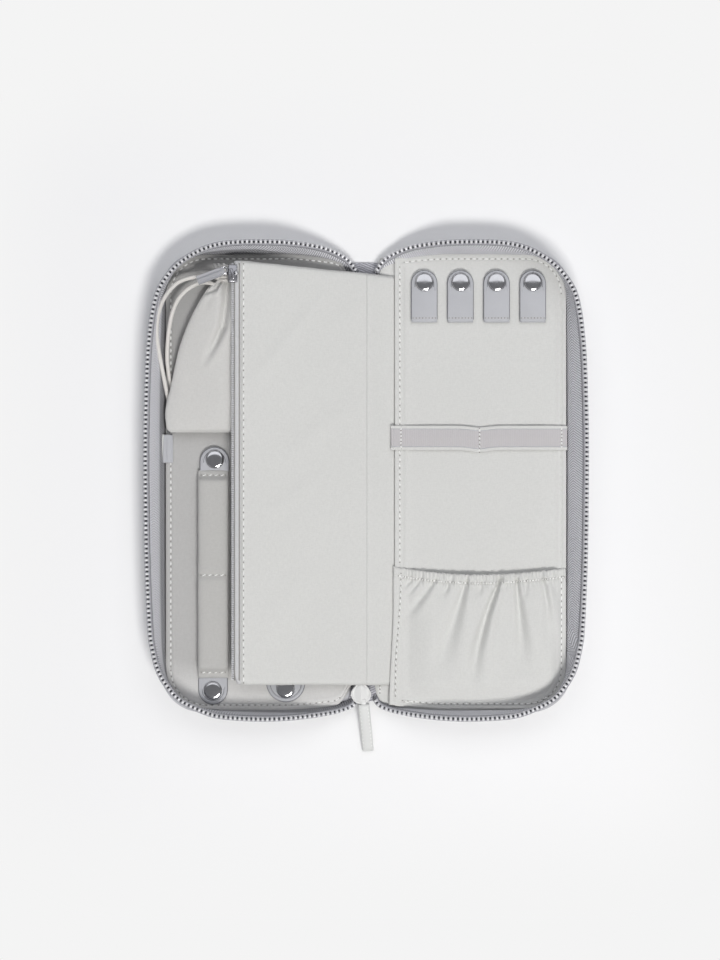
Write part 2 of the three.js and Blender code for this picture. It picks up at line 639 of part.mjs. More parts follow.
// The page's margin is sewn to the spine along its right edge.
function addPageHem() {
  const leftX = PAGE_HINGE_X - PAGE_PIPING_RADIUS;
  const topY = PAGE_TOP_ROOT_Y - 1;
  const bottomY = PAGE_BOTTOM_ROOT_Y + 1;
  const geometry = box(PAGE_HEM_RIGHT_X - leftX, topY - bottomY, PAGE_HEM_THICK);
  geometry.translate((PAGE_HEM_RIGHT_X + leftX) / 2, (topY + bottomY) / 2, ON_LINING_Z + PAGE_HEM_THICK / 2);
  addPiece('page_hem', geometry, COLOURS.lining);
}

// A turned solid around Z from a profile of radius and height.
function turned(profile) {
  const points = profile.map(([radius, height]) => new THREE.Vector2(radius, height));
  return new THREE.LatheGeometry(points, SNAP_SIDES).rotateX(Math.PI / 2);
}

// Domed cap with a socket in its lower face, which lies at z = 0.
function snapCap() {
  const dome = [30, 60].map((angle) => [
    SNAP_RADIUS * Math.cos(radians(angle)),
    SNAP_RIM + (SNAP_HEIGHT - SNAP_RIM) * Math.sin(radians(angle)),
  ]);
  return turned([
    [0, SNAP_SOCKET_DEPTH],
    [SNAP_SOCKET_RADIUS, SNAP_SOCKET_DEPTH],
    [SNAP_SOCKET_RADIUS, 0],
    [SNAP_RADIUS, 0],
    [SNAP_RADIUS, SNAP_RIM],
    ...dome,
    [0, SNAP_HEIGHT],
  ]);
}

function snapStud(height, baseRadius = STUD_RADIUS, baseHeight = 0) {
  const base = baseHeight > 0 ? [[baseRadius, 0], [baseRadius, baseHeight]] : [];
  const foot = baseHeight > 0 ? baseHeight : 0;
  return turned([[0, 0], ...base, [STUD_RADIUS, foot], [STUD_RADIUS, height], [0, height]]);
}

// A tab from its straight edge at y = 0 to its round end at y = length.
function tabShape(width, length, holeY = null) {
  const half = width / 2;
  const shape = new THREE.Shape();
  shape.moveTo(-half, 0);
  shape.lineTo(half, 0);
  shape.lineTo(half, length - half);
  shape.absarc(0, length - half, half, 0, Math.PI, false);
  shape.closePath();
  if (holeY !== null) {
    const hole = new THREE.Path();
    hole.absarc(0, holeY, SNAP_SOCKET_RADIUS, 0, 2 * Math.PI, true);
    shape.holes.push(hole);
  }
  return shape;
}

function addNecklaceTab(number) {
  const x = TAB_FIRST_X + (number - 1) * TAB_PITCH;
  const length = TAB_TOP_Y - TAB_FOLD_Y;
  const snapY = length - TAB_SNAP_INSET;
  const backStart = TAB_THICK;
  const pieces = [
    [`tab_back_${number}`, plate(tabShape(TAB_WIDTH, length - backStart), INSIDE_Z, TAB_THICK), backStart],
    [`necklace_tab_${number}`, plate(tabShape(TAB_WIDTH, length, snapY), TAB_FRONT_Z, TAB_THICK), 0],
  ];
  for (const [name, geometry, offset] of pieces) {
    geometry.translate(x, TAB_FOLD_Y + offset, 0);
    addPiece(name, geometry, COLOURS.tab, 0.6);
  }
  const studBase = INSIDE_Z + TAB_THICK;
  const stud = snapStud(STUD_TOP_Z - studBase).translate(x, TAB_FOLD_Y + snapY, studBase);
  addPiece(`tab_stud_${number}`, stud, COLOURS.metal, 0.3, 1);
  const cap = snapCap().translate(x, TAB_FOLD_Y + snapY, TAB_FRONT_Z + TAB_THICK);
  addPiece(`necklace_cap_${number}`, cap, COLOURS.metal, 0.25, 1);
}

function addElasticStrap() {
  const leftX = LEAF_LAYER_X + 0.2;
  const rightX = LINING_EDGE_X - 0.2;
  const geometry = box(rightX - leftX, ELASTIC_WIDTH, ELASTIC_THICK);
  geometry.translate((leftX + rightX) / 2, ELASTIC_Y, ON_LINING_Z + ELASTIC_THICK / 2);
  addPiece('elastic_strap', geometry, COLOURS.elastic);
}

// Lower edge of the gathered pocket, which follows the lining's outline.
function pocketBottomY(x) {
  const cornerX = Math.max(x - (LINING_EDGE_X - LINING_CORNER), 0);
  const cornerRise = LINING_CORNER - Math.sqrt(LINING_CORNER ** 2 - cornerX ** 2);
  const bend = Math.max(LEAF_SHOULDER_X - x, 0) / (LEAF_SHOULDER_X - LEAF_LAYER_X);
  const innerRise = (LINING_HALF_Y - LAYER_INNER_HALF_Y) * bend ** 2;
  return POCKET_BOTTOM_Y + cornerRise + innerRise;
}

function addGatheredPocket() {
  const { lerp, smoothstep } = THREE.MathUtils;
  const leftX = LEAF_LAYER_X + 0.3;
  const surface = (depth) => (u, v) => {
    const x = lerp(leftX, POCKET_EDGE_X, u);
    const bottomY = pocketBottomY(x);
    const y = lerp(bottomY, POCKET_TOP_Y - POCKET_SAG * Math.sin(Math.PI * u), v);
    const fromSpine = smoothstep(x - leftX, 1, POCKET_INNER_MARGIN);
    const fromEdge = smoothstep(POCKET_EDGE_X - x, 1, POCKET_MARGIN);
    const fromBottom = smoothstep(y - bottomY, 2, POCKET_MARGIN);
    const lift = POCKET_BULGE * fromSpine * fromEdge * fromBottom;
    return new THREE.Vector3(x, y, ON_LINING_Z + lift + depth);
  };
  addPiece('gathered_pocket', sheetBody(22, 12, surface(0), surface(POCKET_THICK)), COLOURS.lining, 0.9);
}

// A padded bar that lies on the lining, with flat sewn ends.
function paddedBar(width, thickness, topY, bottomY, endThick, endSlope) {
  const stations = [
    [topY, endThick],
    [topY - endSlope / 2, lerpThick(endThick, thickness)],
    [topY - endSlope, thickness],
    [bottomY + endSlope, thickness],
    [bottomY + endSlope / 2, lerpThick(endThick, thickness)],
    [bottomY, endThick],
  ];
  const half = width / 2;
  const rings = stations.map(([y, height]) => {
    const round = Math.min(height / 2, width / 4);
    const section = roundedRectangle(half, height / 2, round * 0.9).getPoints(3);
    return section.map((p) => new THREE.Vector3(p.x, y, ON_LINING_Z + height / 2 + p.y));
  });
  return loft(rings);
}

function lerpThick(endThick, thickness) {
  return THREE.MathUtils.lerp(endThick, thickness, 0.8);
}

function addRingBar() {
  const bar = paddedBar(
    RING_BAR_WIDTH,
    RING_BAR_THICK,
    RING_BAR_TOP_Y,
    RING_BAR_BOTTOM_Y,
    RING_BAR_END_THICK,
    RING_BAR_END_SLOPE,
  );
  addPiece('ring_bar_pad', bar.translate(RING_BAR_X, 0, 0), COLOURS.lining, 0.9);

  const tabY = RING_BAR_TOP_Y + SEAT_GAP;
  const snapY = RING_TAB_LENGTH - RING_SNAP_INSET;
  const tab = plate(tabShape(RING_TAB_WIDTH, RING_TAB_LENGTH, snapY), TAB_FRONT_Z, TAB_THICK);
  addPiece('ring_tab_top', tab.translate(RING_BAR_X, tabY, 0), COLOURS.tab, 0.6);
  const cap = snapCap().translate(RING_BAR_X, tabY + snapY, TAB_FRONT_Z + TAB_THICK);
  addPiece('ring_cap_top', cap, COLOURS.metal, 0.25, 1);
  const stud = snapStud(STUD_TOP_Z - INSIDE_Z, SNAP_RADIUS, TAB_THICK);
  addPiece('ring_stud_top', stud.translate(RING_BAR_X, tabY + snapY, INSIDE_Z), COLOURS.metal, 0.3, 1);

  const fixedThick = TAB_THICK + SEAT_GAP;
  const fixed = plate(tabShape(RING_TAB_WIDTH, RING_TAB_LENGTH), INSIDE_Z, fixedThick);
  fixed.rotateZ(Math.PI).translate(RING_BAR_X, RING_TAB_BOTTOM_Y, 0);
  addPiece('ring_tab_bottom', fixed, COLOURS.tab, 0.6);
  const fixedCap = snapCap().translate(RING_BAR_X, RING_TAB_BOTTOM_Y - snapY, INSIDE_Z + fixedThick);
  addPiece('ring_cap_bottom', fixedCap, COLOURS.metal, 0.25, 1);
}

function addEarringStrap() {
  const strap = paddedBar(EARRING_WIDTH, EARRING_THICK, EARRING_TOP_Y, EARRING_BOTTOM_Y, 1.4, 4);
  addPiece('earring_strap', strap.translate(EARRING_X, 0, 0), COLOURS.lining, 0.9);
  const thick = TAB_THICK + SEAT_GAP;
  const tab = plate(tabShape(EARRING_TAB_WIDTH, RING_TAB_LENGTH), INSIDE_Z, thick);
  tab.rotateZ(Math.PI).translate(EARRING_X, EARRING_TAB_Y, 0);
  addPiece('earring_tab_bottom', tab, COLOURS.tab, 0.6);
  const snapY = RING_TAB_LENGTH - RING_SNAP_INSET;
  const cap = snapCap().translate(EARRING_X, EARRING_TAB_Y - snapY, INSIDE_Z + thick);
  addPiece('earring_cap_bottom', cap, COLOURS.metal, 0.25, 1);
}

function addInnerZip() {
  const chain = box(INNER_ZIP_RIGHT_X - INNER_ZIP_LEFT_X, INNER_ZIP_WIDTH, INNER_ZIP_THICK);
  const midX = (INNER_ZIP_LEFT_X + INNER_ZIP_RIGHT_X) / 2;
  chain.translate(midX, INNER_ZIP_Y, ON_LINING_Z + INNER_ZIP_THICK / 2);
  addPiece('inner_zip_chain', chain, COLOURS.teeth, 0.4, 0.8);

  const sliderX = INNER_ZIP_LEFT_X - SEAT_GAP - INNER_SLIDER_LENGTH / 2;
  const slider = box(INNER_SLIDER_LENGTH, INNER_SLIDER_WIDTH, INNER_SLIDER_THICK);
  slider.translate(sliderX, INNER_ZIP_Y, ON_LINING_Z + INNER_SLIDER_THICK / 2);
  addPiece('inner_zip_slider', slider, COLOURS.metal, 0.3, 1);

  const strip = roundedRectangle(INNER_PULLER_WIDTH / 2, INNER_PULLER_LENGTH / 2, 1);
  const puller = plate(strip, 0, INNER_PULLER_THICK, 3);
  puller.translate(INNER_PULLER_X, INNER_PULLER_Y - INNER_PULLER_LENGTH / 2, ON_LINING_Z + SEAT_GAP);
  addPiece('inner_zip_puller', puller, COLOURS.tab, 0.6);
}

// The drawstring pouch, drawn closed: full below, a narrow neck and a ruffled mouth.
function addPouch() {
  const rings = POUCH_OUTLINE.map(([lengthShare, widthShare, share]) => {
    const y = POUCH_BOTTOM_Y + POUCH_LENGTH * lengthShare;
    const halfWidth = POUCH_HALF_WIDTH * widthShare;
    const ring = [];
    for (let i = 0; i < POUCH_SECTION_SIDES; i += 1) {
      const angle = 2 * Math.PI * i / POUCH_SECTION_SIDES;
      const across = halfWidth * Math.cos(angle);
      const depth = Math.sin(angle) > 0 ? POUCH_HEIGHT_ABOVE : POUCH_DEPTH_BELOW;
      const rise = depth * share * Math.sin(angle) - POUCH_LEAN * Math.max(across, 0);
      ring.push(new THREE.Vector3(POUCH_X + across, y, POUCH_MID_Z + rise));
    }
    return ring;
  });
  addPiece('pouch_body', loft(rings), COLOURS.lining, 0.9);
}

function cordBody(route) {
  const curve = new THREE.CatmullRomCurve3(route.map(([x, y, z]) => new THREE.Vector3(x, y, z)));
  const section = new THREE.Shape();
  for (let i = 0; i < CORD_SIDES; i += 1) {
    const angle = 2 * Math.PI * i / CORD_SIDES;
    const corner = [CORD_RADIUS * Math.cos(angle), CORD_RADIUS * Math.sin(angle)];
    if (i === 0) section.moveTo(...corner);
    else section.lineTo(...corner);
  }
  const steps = Math.round(curve.getLength() / CORD_STEP);
  return new THREE.ExtrudeGeometry(section, { steps, extrudePath: curve, bevelEnabled: false });
}

function addDrawstring() {
  addPiece('drawstring_a', cordBody(CORD_A_POINTS), COLOURS.cord, 0.9);
  addPiece('drawstring_b', cordBody(CORD_B_POINTS), COLOURS.cord, 0.9);
  const knot = new THREE.SphereGeometry(1, 12, 8).scale(...KNOT_RADII).translate(...KNOT_CENTRE);
  addPiece('drawstring_knot', knot, COLOURS.cord, 0.9);
}

caseGroup.name = 'jewelry_case';
addSpine();
addLeafShell('left', -1);
addLeafShell('right', 1);
addZipEnds();
addMainSlider();
addPageHem();
addPage();
for (let number = 1; number <= TAB_COUNT; number += 1) addNecklaceTab(number);
addElasticStrap();
addGatheredPocket();
addRingBar();
addEarringStrap();
addInnerZip();
addPouch();
addDrawstring();

export default caseGroup;
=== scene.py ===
# Zip-around jewelry case lying open: the finished look around the fixed frame.
# Lengths are millimetres in the frame's axes, and MM turns them into metres. Where a comment says metres, and
# in the bumps of the materials, they are metres.

import json
import math

import bmesh
import bpy
import numpy as np
from mathutils import Matrix, Vector, noise

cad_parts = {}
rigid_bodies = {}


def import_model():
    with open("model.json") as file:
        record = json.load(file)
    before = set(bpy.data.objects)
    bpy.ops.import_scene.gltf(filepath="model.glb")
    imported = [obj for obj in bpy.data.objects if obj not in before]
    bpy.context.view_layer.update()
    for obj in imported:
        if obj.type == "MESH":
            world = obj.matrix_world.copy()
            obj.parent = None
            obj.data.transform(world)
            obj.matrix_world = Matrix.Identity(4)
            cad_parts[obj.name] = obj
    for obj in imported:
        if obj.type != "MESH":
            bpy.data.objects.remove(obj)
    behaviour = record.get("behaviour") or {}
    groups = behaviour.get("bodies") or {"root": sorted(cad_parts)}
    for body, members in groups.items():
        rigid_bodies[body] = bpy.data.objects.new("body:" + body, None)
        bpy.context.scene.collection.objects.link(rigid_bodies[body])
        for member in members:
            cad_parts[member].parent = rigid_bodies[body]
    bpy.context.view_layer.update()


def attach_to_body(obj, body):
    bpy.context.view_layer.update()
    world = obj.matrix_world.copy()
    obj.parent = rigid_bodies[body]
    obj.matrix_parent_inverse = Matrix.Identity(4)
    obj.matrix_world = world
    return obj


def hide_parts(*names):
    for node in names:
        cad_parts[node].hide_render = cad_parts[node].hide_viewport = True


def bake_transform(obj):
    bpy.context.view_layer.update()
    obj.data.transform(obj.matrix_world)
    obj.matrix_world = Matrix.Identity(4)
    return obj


for started in list(bpy.data.objects):
    bpy.data.objects.remove(started, do_unlink=True)
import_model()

MM = 0.001

# Sizes that the shapes share
INSIDE_Z = 3.6              # top of the lining's board layer
PAGE_HINGE = (-1.0, 6.2)    # x and z
PAGE_TILT = math.radians(8.6)
STITCH_PITCH = 3.1
STITCH_LENGTH = 2.0
STITCH_RADIUS = 0.36
SEAM_INSET = 2.5            # from a panel's edge to its seam
PANEL_EDGE = 99.8           # x of the outer edge of a leaf's panel
PANEL_CORNER = 19.8         # radius of the panel's outer corners
PANEL_START = 14.3          # x of the right panel's edge beside the spine
PANEL_TOP = 113.7           # y of the panels' top edge
END_SLOPE = 4.9             # how much shorter than at the middle of a leaf a panel is at the spine
LEVEL_X = 40                # from here outwards the ends of a leaf run straight
COVER_TOP = 1.2
COVER_EDGE = 102.6          # x of the cover's outer edge


def lerp(a, b, t):
    return a + (b - a) * t


def smooth(a, b, x):
    t = min(max((x - a) / (b - a), 0.0), 1.0)
    return t * t * (3 - 2 * t)


def linear(hex_colour):
    """Scene-linear colour of a six-digit sRGB colour."""
    values = [int(hex_colour[i:i + 2], 16) / 255 for i in (0, 2, 4)]
    return [v / 12.92 if v <= 0.04045 else ((v + 0.055) / 1.055) ** 2.4 for v in values] + [1.0]


def angles(count, shift=0.0):
    """Even angles once round a circle."""
    return [2 * math.pi * (i + shift) / count for i in range(count)]


def rounded_square(angle, power_x, power_y):
    """A point on the unit circle pushed out towards the corners: the lower the powers, the squarer."""
    c, s = math.cos(angle), math.sin(angle)
    return math.copysign(abs(c) ** power_x, c), math.copysign(abs(s) ** power_y, s)


def bell(x, middle, width):
    """1 at the middle, fading to 0 on both sides."""
    return math.exp(-((x - middle) / width) ** 2)


# Camera and light

CAMERA_HEIGHT = 1.2         # metres
PHOTO_CENTRE = (-3.0, 1.0)  # the point of the case under the middle of the photograph
FRAME_HEIGHT = 0.48         # metres across the photograph's height at the table
SENSOR = 36                 # the camera's own measure, which cancels out
# Each lamp's place and size in metres, the point it faces, its watts and its colour
LAMPS = {
    "key": ((0.288, -0.768, 1.464), (0.60, 0.32), (0, 0, 0), 17.0, (1.0, 0.99, 0.975)),
    "fill": ((0.05, 0.695, 1.05), (1.8, 1.0), (0.05, 0.695, 0), 6.2, (0.97, 0.98, 1.02)),
}
WORLD_LEVEL = 0.245
BACKGROUND = 0.905          # what the camera sees of the floor away from the case
TABLE_GLOW = math.sin(math.radians(22))     # below this slope metal mirrors something as bright as the table


def add_camera():
    data = bpy.data.cameras.new("camera")
    data.sensor_fit = "VERTICAL"
    data.sensor_height = SENSOR
    data.lens = SENSOR * CAMERA_HEIGHT / FRAME_HEIGHT
    camera = bpy.data.objects.new("camera", data)
    camera.location = (PHOTO_CENTRE[0] * MM, PHOTO_CENTRE[1] * MM, CAMERA_HEIGHT)
    bpy.context.scene.collection.objects.link(camera)
    bpy.context.scene.camera = camera


def add_lamps():
    for name, (place, size, target, watts, colour) in LAMPS.items():
        data = bpy.data.lights.new(name, "AREA")
        data.shape = "RECTANGLE"
        data.size, data.size_y = size
        data.energy = watts
        data.color = colour
        lamp = bpy.data.objects.new(name, data)
        lamp.location = place
        lamp.rotation_euler = (Vector(place) - Vector(target)).to_track_quat("Z", "Y").to_euler()
        bpy.context.scene.collection.objects.link(lamp)


def add_world():
    """A cool even sky, which shiny metal sees as bright as the table low down."""
    world = bpy.data.worlds.new("studio")
    world.use_nodes = True
    bpy.context.scene.world = world
    nodes, link = world.node_tree.nodes, world.node_tree.links.new
    nodes.clear()
    sky = nodes.new("ShaderNodeBackground")
    sky.inputs["Color"].default_value = (0.97, 0.98, 1.02, 1)
    sky.inputs["Strength"].default_value = WORLD_LEVEL
    table = nodes.new("ShaderNodeBackground")
    table.inputs["Strength"].default_value = BACKGROUND
    parts = nodes.new("ShaderNodeSeparateXYZ")
    low = nodes.new("ShaderNodeMath")
    low.operation = "LESS_THAN"
    low.inputs[1].default_value = TABLE_GLOW
    mirrored = nodes.new("ShaderNodeMath")
    mirrored.operation = "MULTIPLY"
    mix = nodes.new("ShaderNodeMixShader")
    link(nodes.new("ShaderNodeTexCoord").outputs["Generated"], parts.inputs[0])
    link(parts.outputs["Z"], low.inputs[0])
    link(low.outputs[0], mirrored.inputs[0])
    link(nodes.new("ShaderNodeLightPath").outputs["Is Glossy Ray"], mirrored.inputs[1])
    link(mirrored.outputs[0], mix.inputs["Fac"])
    link(sky.outputs[0], mix.inputs[1])
    link(table.outputs[0], mix.inputs[2])
    link(mix.outputs[0], nodes.new("ShaderNodeOutputWorld").inputs["Surface"])


# The floor, in metres
FLOOR_SIZE = 30
FLOOR_DROP = 0.0002
FLOOR_COLOUR = (0.94, 0.94, 0.94, 1)
SHADOW_HALF = (0.118, 0.128)    # half sizes of the area under the case
SHADOW_REACH = 0.09             # from there to where the floor is one plain tone


def add_floor():
    """A pale floor: it takes the case's shadow, and far from the case it shows as one plain tone."""
    bpy.ops.mesh.primitive_plane_add(size=FLOOR_SIZE, location=(0, 0, -FLOOR_DROP))
    floor = bpy.context.object
    floor.name = "floor"
    surface = Surface("floor", FLOOR_COLOUR, 1.0)
    surface.shader.inputs["Specular IOR Level"].default_value = 0.0
    parts = surface.split(surface.node("ShaderNodeNewGeometry").outputs["Position"])
    squares = []
    for axis, half in zip("XY", SHADOW_HALF):
        beyond = surface.math("SUBTRACT", surface.math("ABSOLUTE", parts[axis]), half)
        squares.append(surface.math("POWER", surface.math("MAXIMUM", beyond, 0.0), 2.0))
    distance = surface.math("SQRT", surface.math("ADD", *squares))
    fade = surface.ramp(distance, From_Max=SHADOW_REACH, interpolation_type="SMOOTHSTEP")
    rays = surface.node("ShaderNodeLightPath").outputs
    seen = surface.math("MAXIMUM", rays["Is Camera Ray"], rays["Is Glossy Ray"])
    seen = surface.math("MAXIMUM", seen, rays["Is Transmission Ray"])
    plain = surface.node("ShaderNodeEmission", Strength=BACKGROUND)
    mix = surface.node("ShaderNodeMixShader")
    surface.link(surface.math("MULTIPLY", fade, seen), mix.inputs["Fac"])
    surface.link(surface.shader.outputs[0], mix.inputs[1])
    surface.link(plain.outputs[0], mix.inputs[2])
    surface.link(mix.outputs[0], surface.tree.nodes["Material Output"].inputs["Surface"])
    floor.data.materials.append(surface.material)


# Materials

class Surface:
    """A material with its shader, and short ways to add texture nodes."""

    def __init__(self, name, colour, roughness, metallic=0.0):
        self.name = name
        self.material = bpy.data.materials.new(name)
        self.material.use_nodes = True
        self.tree = self.material.node_tree
        self.shader = self.tree.nodes["Principled BSDF"]
        self.colour = linear(colour) if isinstance(colour, str) else colour
        self.shader.inputs["Base Color"].default_value = self.colour
        self.shader.inputs["Roughness"].default_value = roughness
        self.shader.inputs["Metallic"].default_value = metallic
        self.coordinates = None

    def node(self, kind, **values):
        """A new node with its inputs or settings given by name."""
        made = self.tree.nodes.new(kind)
        for key, value in values.items():
            name = key.replace("_", " ")
            if name in made.inputs:
                made.inputs[name].default_value = value
            else:
                setattr(made, key, value)
        return made

    def link(self, a, b):
        self.tree.links.new(a, b)

    def place(self, scale=(1, 1, 1), source="Object"):
        if self.coordinates is None:
            self.coordinates = self.tree.nodes.new("ShaderNodeTexCoord")
        mapping = self.node("ShaderNodeMapping", Scale=scale)
        self.link(self.coordinates.outputs[source], mapping.inputs["Vector"])
        return mapping.outputs["Vector"]

    def split(self, vector):
        """The X, Y and Z of a vector."""
        made = self.node("ShaderNodeSeparateXYZ")
        self.link(vector, made.inputs[0])
        return made.outputs

    def noise(self, scale, detail=2.0, rough=0.5, stretch=(1, 1, 1)):
        texture = self.node("ShaderNodeTexNoise", Scale=scale, Detail=detail, Roughness=rough)
        self.link(self.place(stretch), texture.inputs["Vector"])
        return texture.outputs["Fac"]

    def cells(self, scale, stretch):
        texture = self.node("ShaderNodeTexVoronoi", Scale=scale)
        self.link(self.place(stretch), texture.inputs["Vector"])
        return texture.outputs["Distance"]

    def math(self, operation, a, b=None):
        made = self.node("ShaderNodeMath", operation=operation)
        for i, value in enumerate((a, b)):
            if value is None:
                continue
            if isinstance(value, (int, float)):
                made.inputs[i].default_value = value
            else:
                self.link(value, made.inputs[i])
        return made.outputs[0]

    def sum(self, a, share_a, b, share_b):
        return self.math("ADD", self.math("MULTIPLY", a, share_a), self.math("MULTIPLY", b, share_b))

    def ramp(self, value, **limits):
        made = self.node("ShaderNodeMapRange", **limits)
        self.link(value, made.inputs["Value"])
        return made.outputs["Result"]

    def tint(self, factor, low, high, low_at=0.3, high_at=0.7):
        """The base colour runs between two shades of the plain colour."""
        ramp = self.tree.nodes.new("ShaderNodeValToRGB")
        ramp.color_ramp.elements[0].position = low_at
        ramp.color_ramp.elements[1].position = high_at
        for element, share in zip(ramp.color_ramp.elements, (low, high)):
            element.color = [min(c * share, 1.0) for c in self.colour[:3]] + [1.0]
        self.link(factor, ramp.inputs["Fac"])
        self.link(ramp.outputs["Color"], self.shader.inputs["Base Color"])

    def scale_colour(self, factor):
        """The base colour, tinted before, gets lighter or darker by a factor."""
        shade = self.node("ShaderNodeVectorMath", operation="SCALE")
        colour = self.shader.inputs["Base Color"]
        self.link(colour.links[0].from_socket, shade.inputs[0])
        self.link(factor, shade.inputs["Scale"])
        self.link(shade.outputs[0], colour)

    def bump(self, height, distance, strength=1.0):
        made = self.node("ShaderNodeBump", Strength=strength, Distance=distance)
        self.link(height, made.inputs["Height"])
        self.link(made.outputs["Normal"], self.shader.inputs["Normal"])


def fabric_surface(name, colour, sheen=0.25):
    surface = Surface(name, colour, 0.92)
    surface.shader.inputs["Specular IOR Level"].default_value = 0.15
    surface.shader.inputs["Sheen Weight"].default_value = sheen
    surface.shader.inputs["Sheen Roughness"].default_value = 0.6
    warp = surface.noise(1700, 1, 0.5, (1, 0.3, 1))
    weft = surface.noise(1700, 1, 0.5, (0.3, 1, 1))
    threads = surface.math("ADD", warp, weft)
    cloud = surface.noise(14, 2, 0.5)
    surface.tint(surface.sum(threads, 0.35, cloud, 0.2), 0.97, 1.03, 0.34, 0.56)
    surface.bump(threads, 0.00014, 0.6)
    return surface


# Painted shade on the left lining, from the case's lower edge upwards: share of the way between two values
# of Y, in metres, and the factor on the colour there
LEFT_PAINTED_SHADES_Y = (-0.11, 0.07)
LEFT_PAINTED_SHADES = [(0.03, 1.0), (0.12, 0.72), (0.7, 0.72), (0.94, 0.59)]


def painted_shade_fabric(name, colour):
    """Fabric with painted shade: lighter at the lower edge and darker towards the upper left corner of the
    case, where the pouch and its cords stand over it.
    """
    surface = fabric_surface(name, colour)
    where = surface.split(surface.place())
    shade = surface.tree.nodes.new("ShaderNodeValToRGB")
    stops = shade.color_ramp.elements
    for position, _ in LEFT_PAINTED_SHADES[1:-1]:
        stops.new(position)
    for stop, (position, level) in zip(stops, LEFT_PAINTED_SHADES):
        stop.position = position
        stop.color = (level, level, level, 1)
    low, high = LEFT_PAINTED_SHADES_Y
    surface.link(surface.ramp(where["Y"], From_Min=low, From_Max=high), shade.inputs["Fac"])
    surface.scale_colour(shade.outputs["Color"])
    return surface


def leather_surface(name, colour, grain, depth, roughness):
    surface = Surface(name, colour, roughness)
    surface.shader.inputs["Specular IOR Level"].default_value = 0.4
    height = surface.sum(surface.cells(grain, (1, 0.6, 1)), 0.8, surface.noise(grain * 2, 2, 0.6), 0.5)
    surface.tint(surface.noise(60, 4, 0.6), 0.96, 1.04)
    surface.bump(height, depth, 0.8)
    return surface


TAPE_ZIGZAG = 8.4           # width of one row of the tape's herringbone


def tape_surface(name, colour, dark=0.52, light=1.30):
    """Herringbone zip tape. U runs along the tape and V across it, both in millimetres.

    The tape is darker at its foot, where V is small: painted shade where the wall stands on the lining."""
    surface = Surface(name, colour, 0.9)
    surface.shader.inputs["Specular IOR Level"].default_value = 0.2
    parts = surface.split(surface.place(source="UV"))
    zigzag = surface.math("PINGPONG", parts["Y"], TAPE_ZIGZAG)
    slanted = surface.math("ADD", parts["X"], surface.math("MULTIPLY", zigzag, 0.45))
    ribs = surface.math("PINGPONG", slanted, 0.62)
    height = surface.sum(ribs, 1.3, surface.noise(1600, 2, 0.6), 0.35)
    surface.tint(height, dark, light, 0.22, 0.82)
    # painted shade: the colour is darker near the tape's foot
    foot = surface.ramp(parts["Y"], From_Min=2.2, From_Max=4.6, To_Min=0.5, interpolation_type="SMOOTHSTEP")
    surface.scale_colour(foot)
    surface.bump(height, 0.0003, 0.8)
    return surface


def rib_surface(name, colour):
    """Woven elastic, with fine ribs across the strap."""
    surface = Surface(name, colour, 0.85)
    surface.shader.inputs["Specular IOR Level"].default_value = 0.2
    parts = surface.split(surface.place())
    ribs = surface.math("PINGPONG", surface.math("MULTIPLY", parts["X"], 1 / MM), 0.45)
    height = surface.math("ADD", ribs, surface.math("MULTIPLY", surface.noise(2200, 2, 0.6), 0.4))
    surface.tint(height, 0.94, 1.04, 0.1, 0.8)
    surface.bump(height, 0.00025, 0.8)
    return surface


def cord_surface(name, colour):
    surface = Surface(name, colour, 0.9)
    surface.shader.inputs["Specular IOR Level"].default_value = 0.15
    surface.shader.inputs["Sheen Weight"].default_value = 0.3
    threads = surface.noise(2400, 2, 0.6)
    surface.tint(threads, 0.93, 1.05)
    surface.bump(threads, 0.0002, 0.7)
    return surface


def metal_surface(name, colour, roughness, metallic=1.0):
    surface = Surface(name, colour, roughness, metallic)
    marks = surface.noise(700, 4, 0.7)
    worn = surface.ramp(marks, To_Min=roughness * 0.82, To_Max=roughness * 1.36)
    surface.link(worn, surface.shader.inputs["Roughness"])
    surface.tint(marks, 0.96, 1.03)
    return surface


def paint_surface(name, colour):
    surface = Surface(name, colour, 0.38)
    surface.tint(surface.noise(300, 3, 0.6), 0.985, 1.01)
    surface.bump(surface.noise(900, 2, 0.5), 0.00003, 0.5)
    return surface


def make_materials():
    surfaces = [
        fabric_surface("lining", "D6D6D3"),
        # the left lining, with painted shade
        painted_shade_fabric("lining_left", "D6D5D3"),
        fabric_surface("pouch_cloth", "D0CFCC"),
        fabric_surface("bar_cloth", "BEBDBA"),
        fabric_surface("page_tape", "CFCFD0"),
        # painted shade between the zip teeth
        fabric_surface("chain_bead_shade", "A6A6AB", 0.0),
        fabric_surface("chain_gap_shade", "3E3E42", 0.0),
        fabric_surface("painted_shade", "96948F", 0.0),
        fabric_surface("edge_paint_and_shade", "7C7D82", 0.0),
        leather_surface("cover", "C4C4C8", 1300, 0.00006, 0.48),
        leather_surface("tab_leather", "B9BABE", 1100, 0.00010, 0.5),
        leather_surface("pull_leather", "A3A4A8", 1100, 0.00010, 0.5),
        leather_surface("puller_leather", "D6D7D5", 1600, 0.00004, 0.45),
        tape_surface("tape", "D6D6DB"),
        tape_surface("tape_dark", "B2B2B8", 0.6, 1.25),
        rib_surface("elastic", "C6C3C4"),
        cord_surface("cord", "E0DDD8"),
        cord_surface("thread", "F6F6F4"),
        cord_surface("coil", "DCDCDE"),
        paint_surface("slider_paint", "E4E4E2"),
        metal_surface("metal", "C2C2C4", 0.10),
        metal_surface("slider_metal", "9C9CA0", 0.24),
        metal_surface("teeth", "E6E6E8", 0.45, metallic=0.55),
    ]
    return {surface.name: surface.material for surface in surfaces}


# Mesh helpers

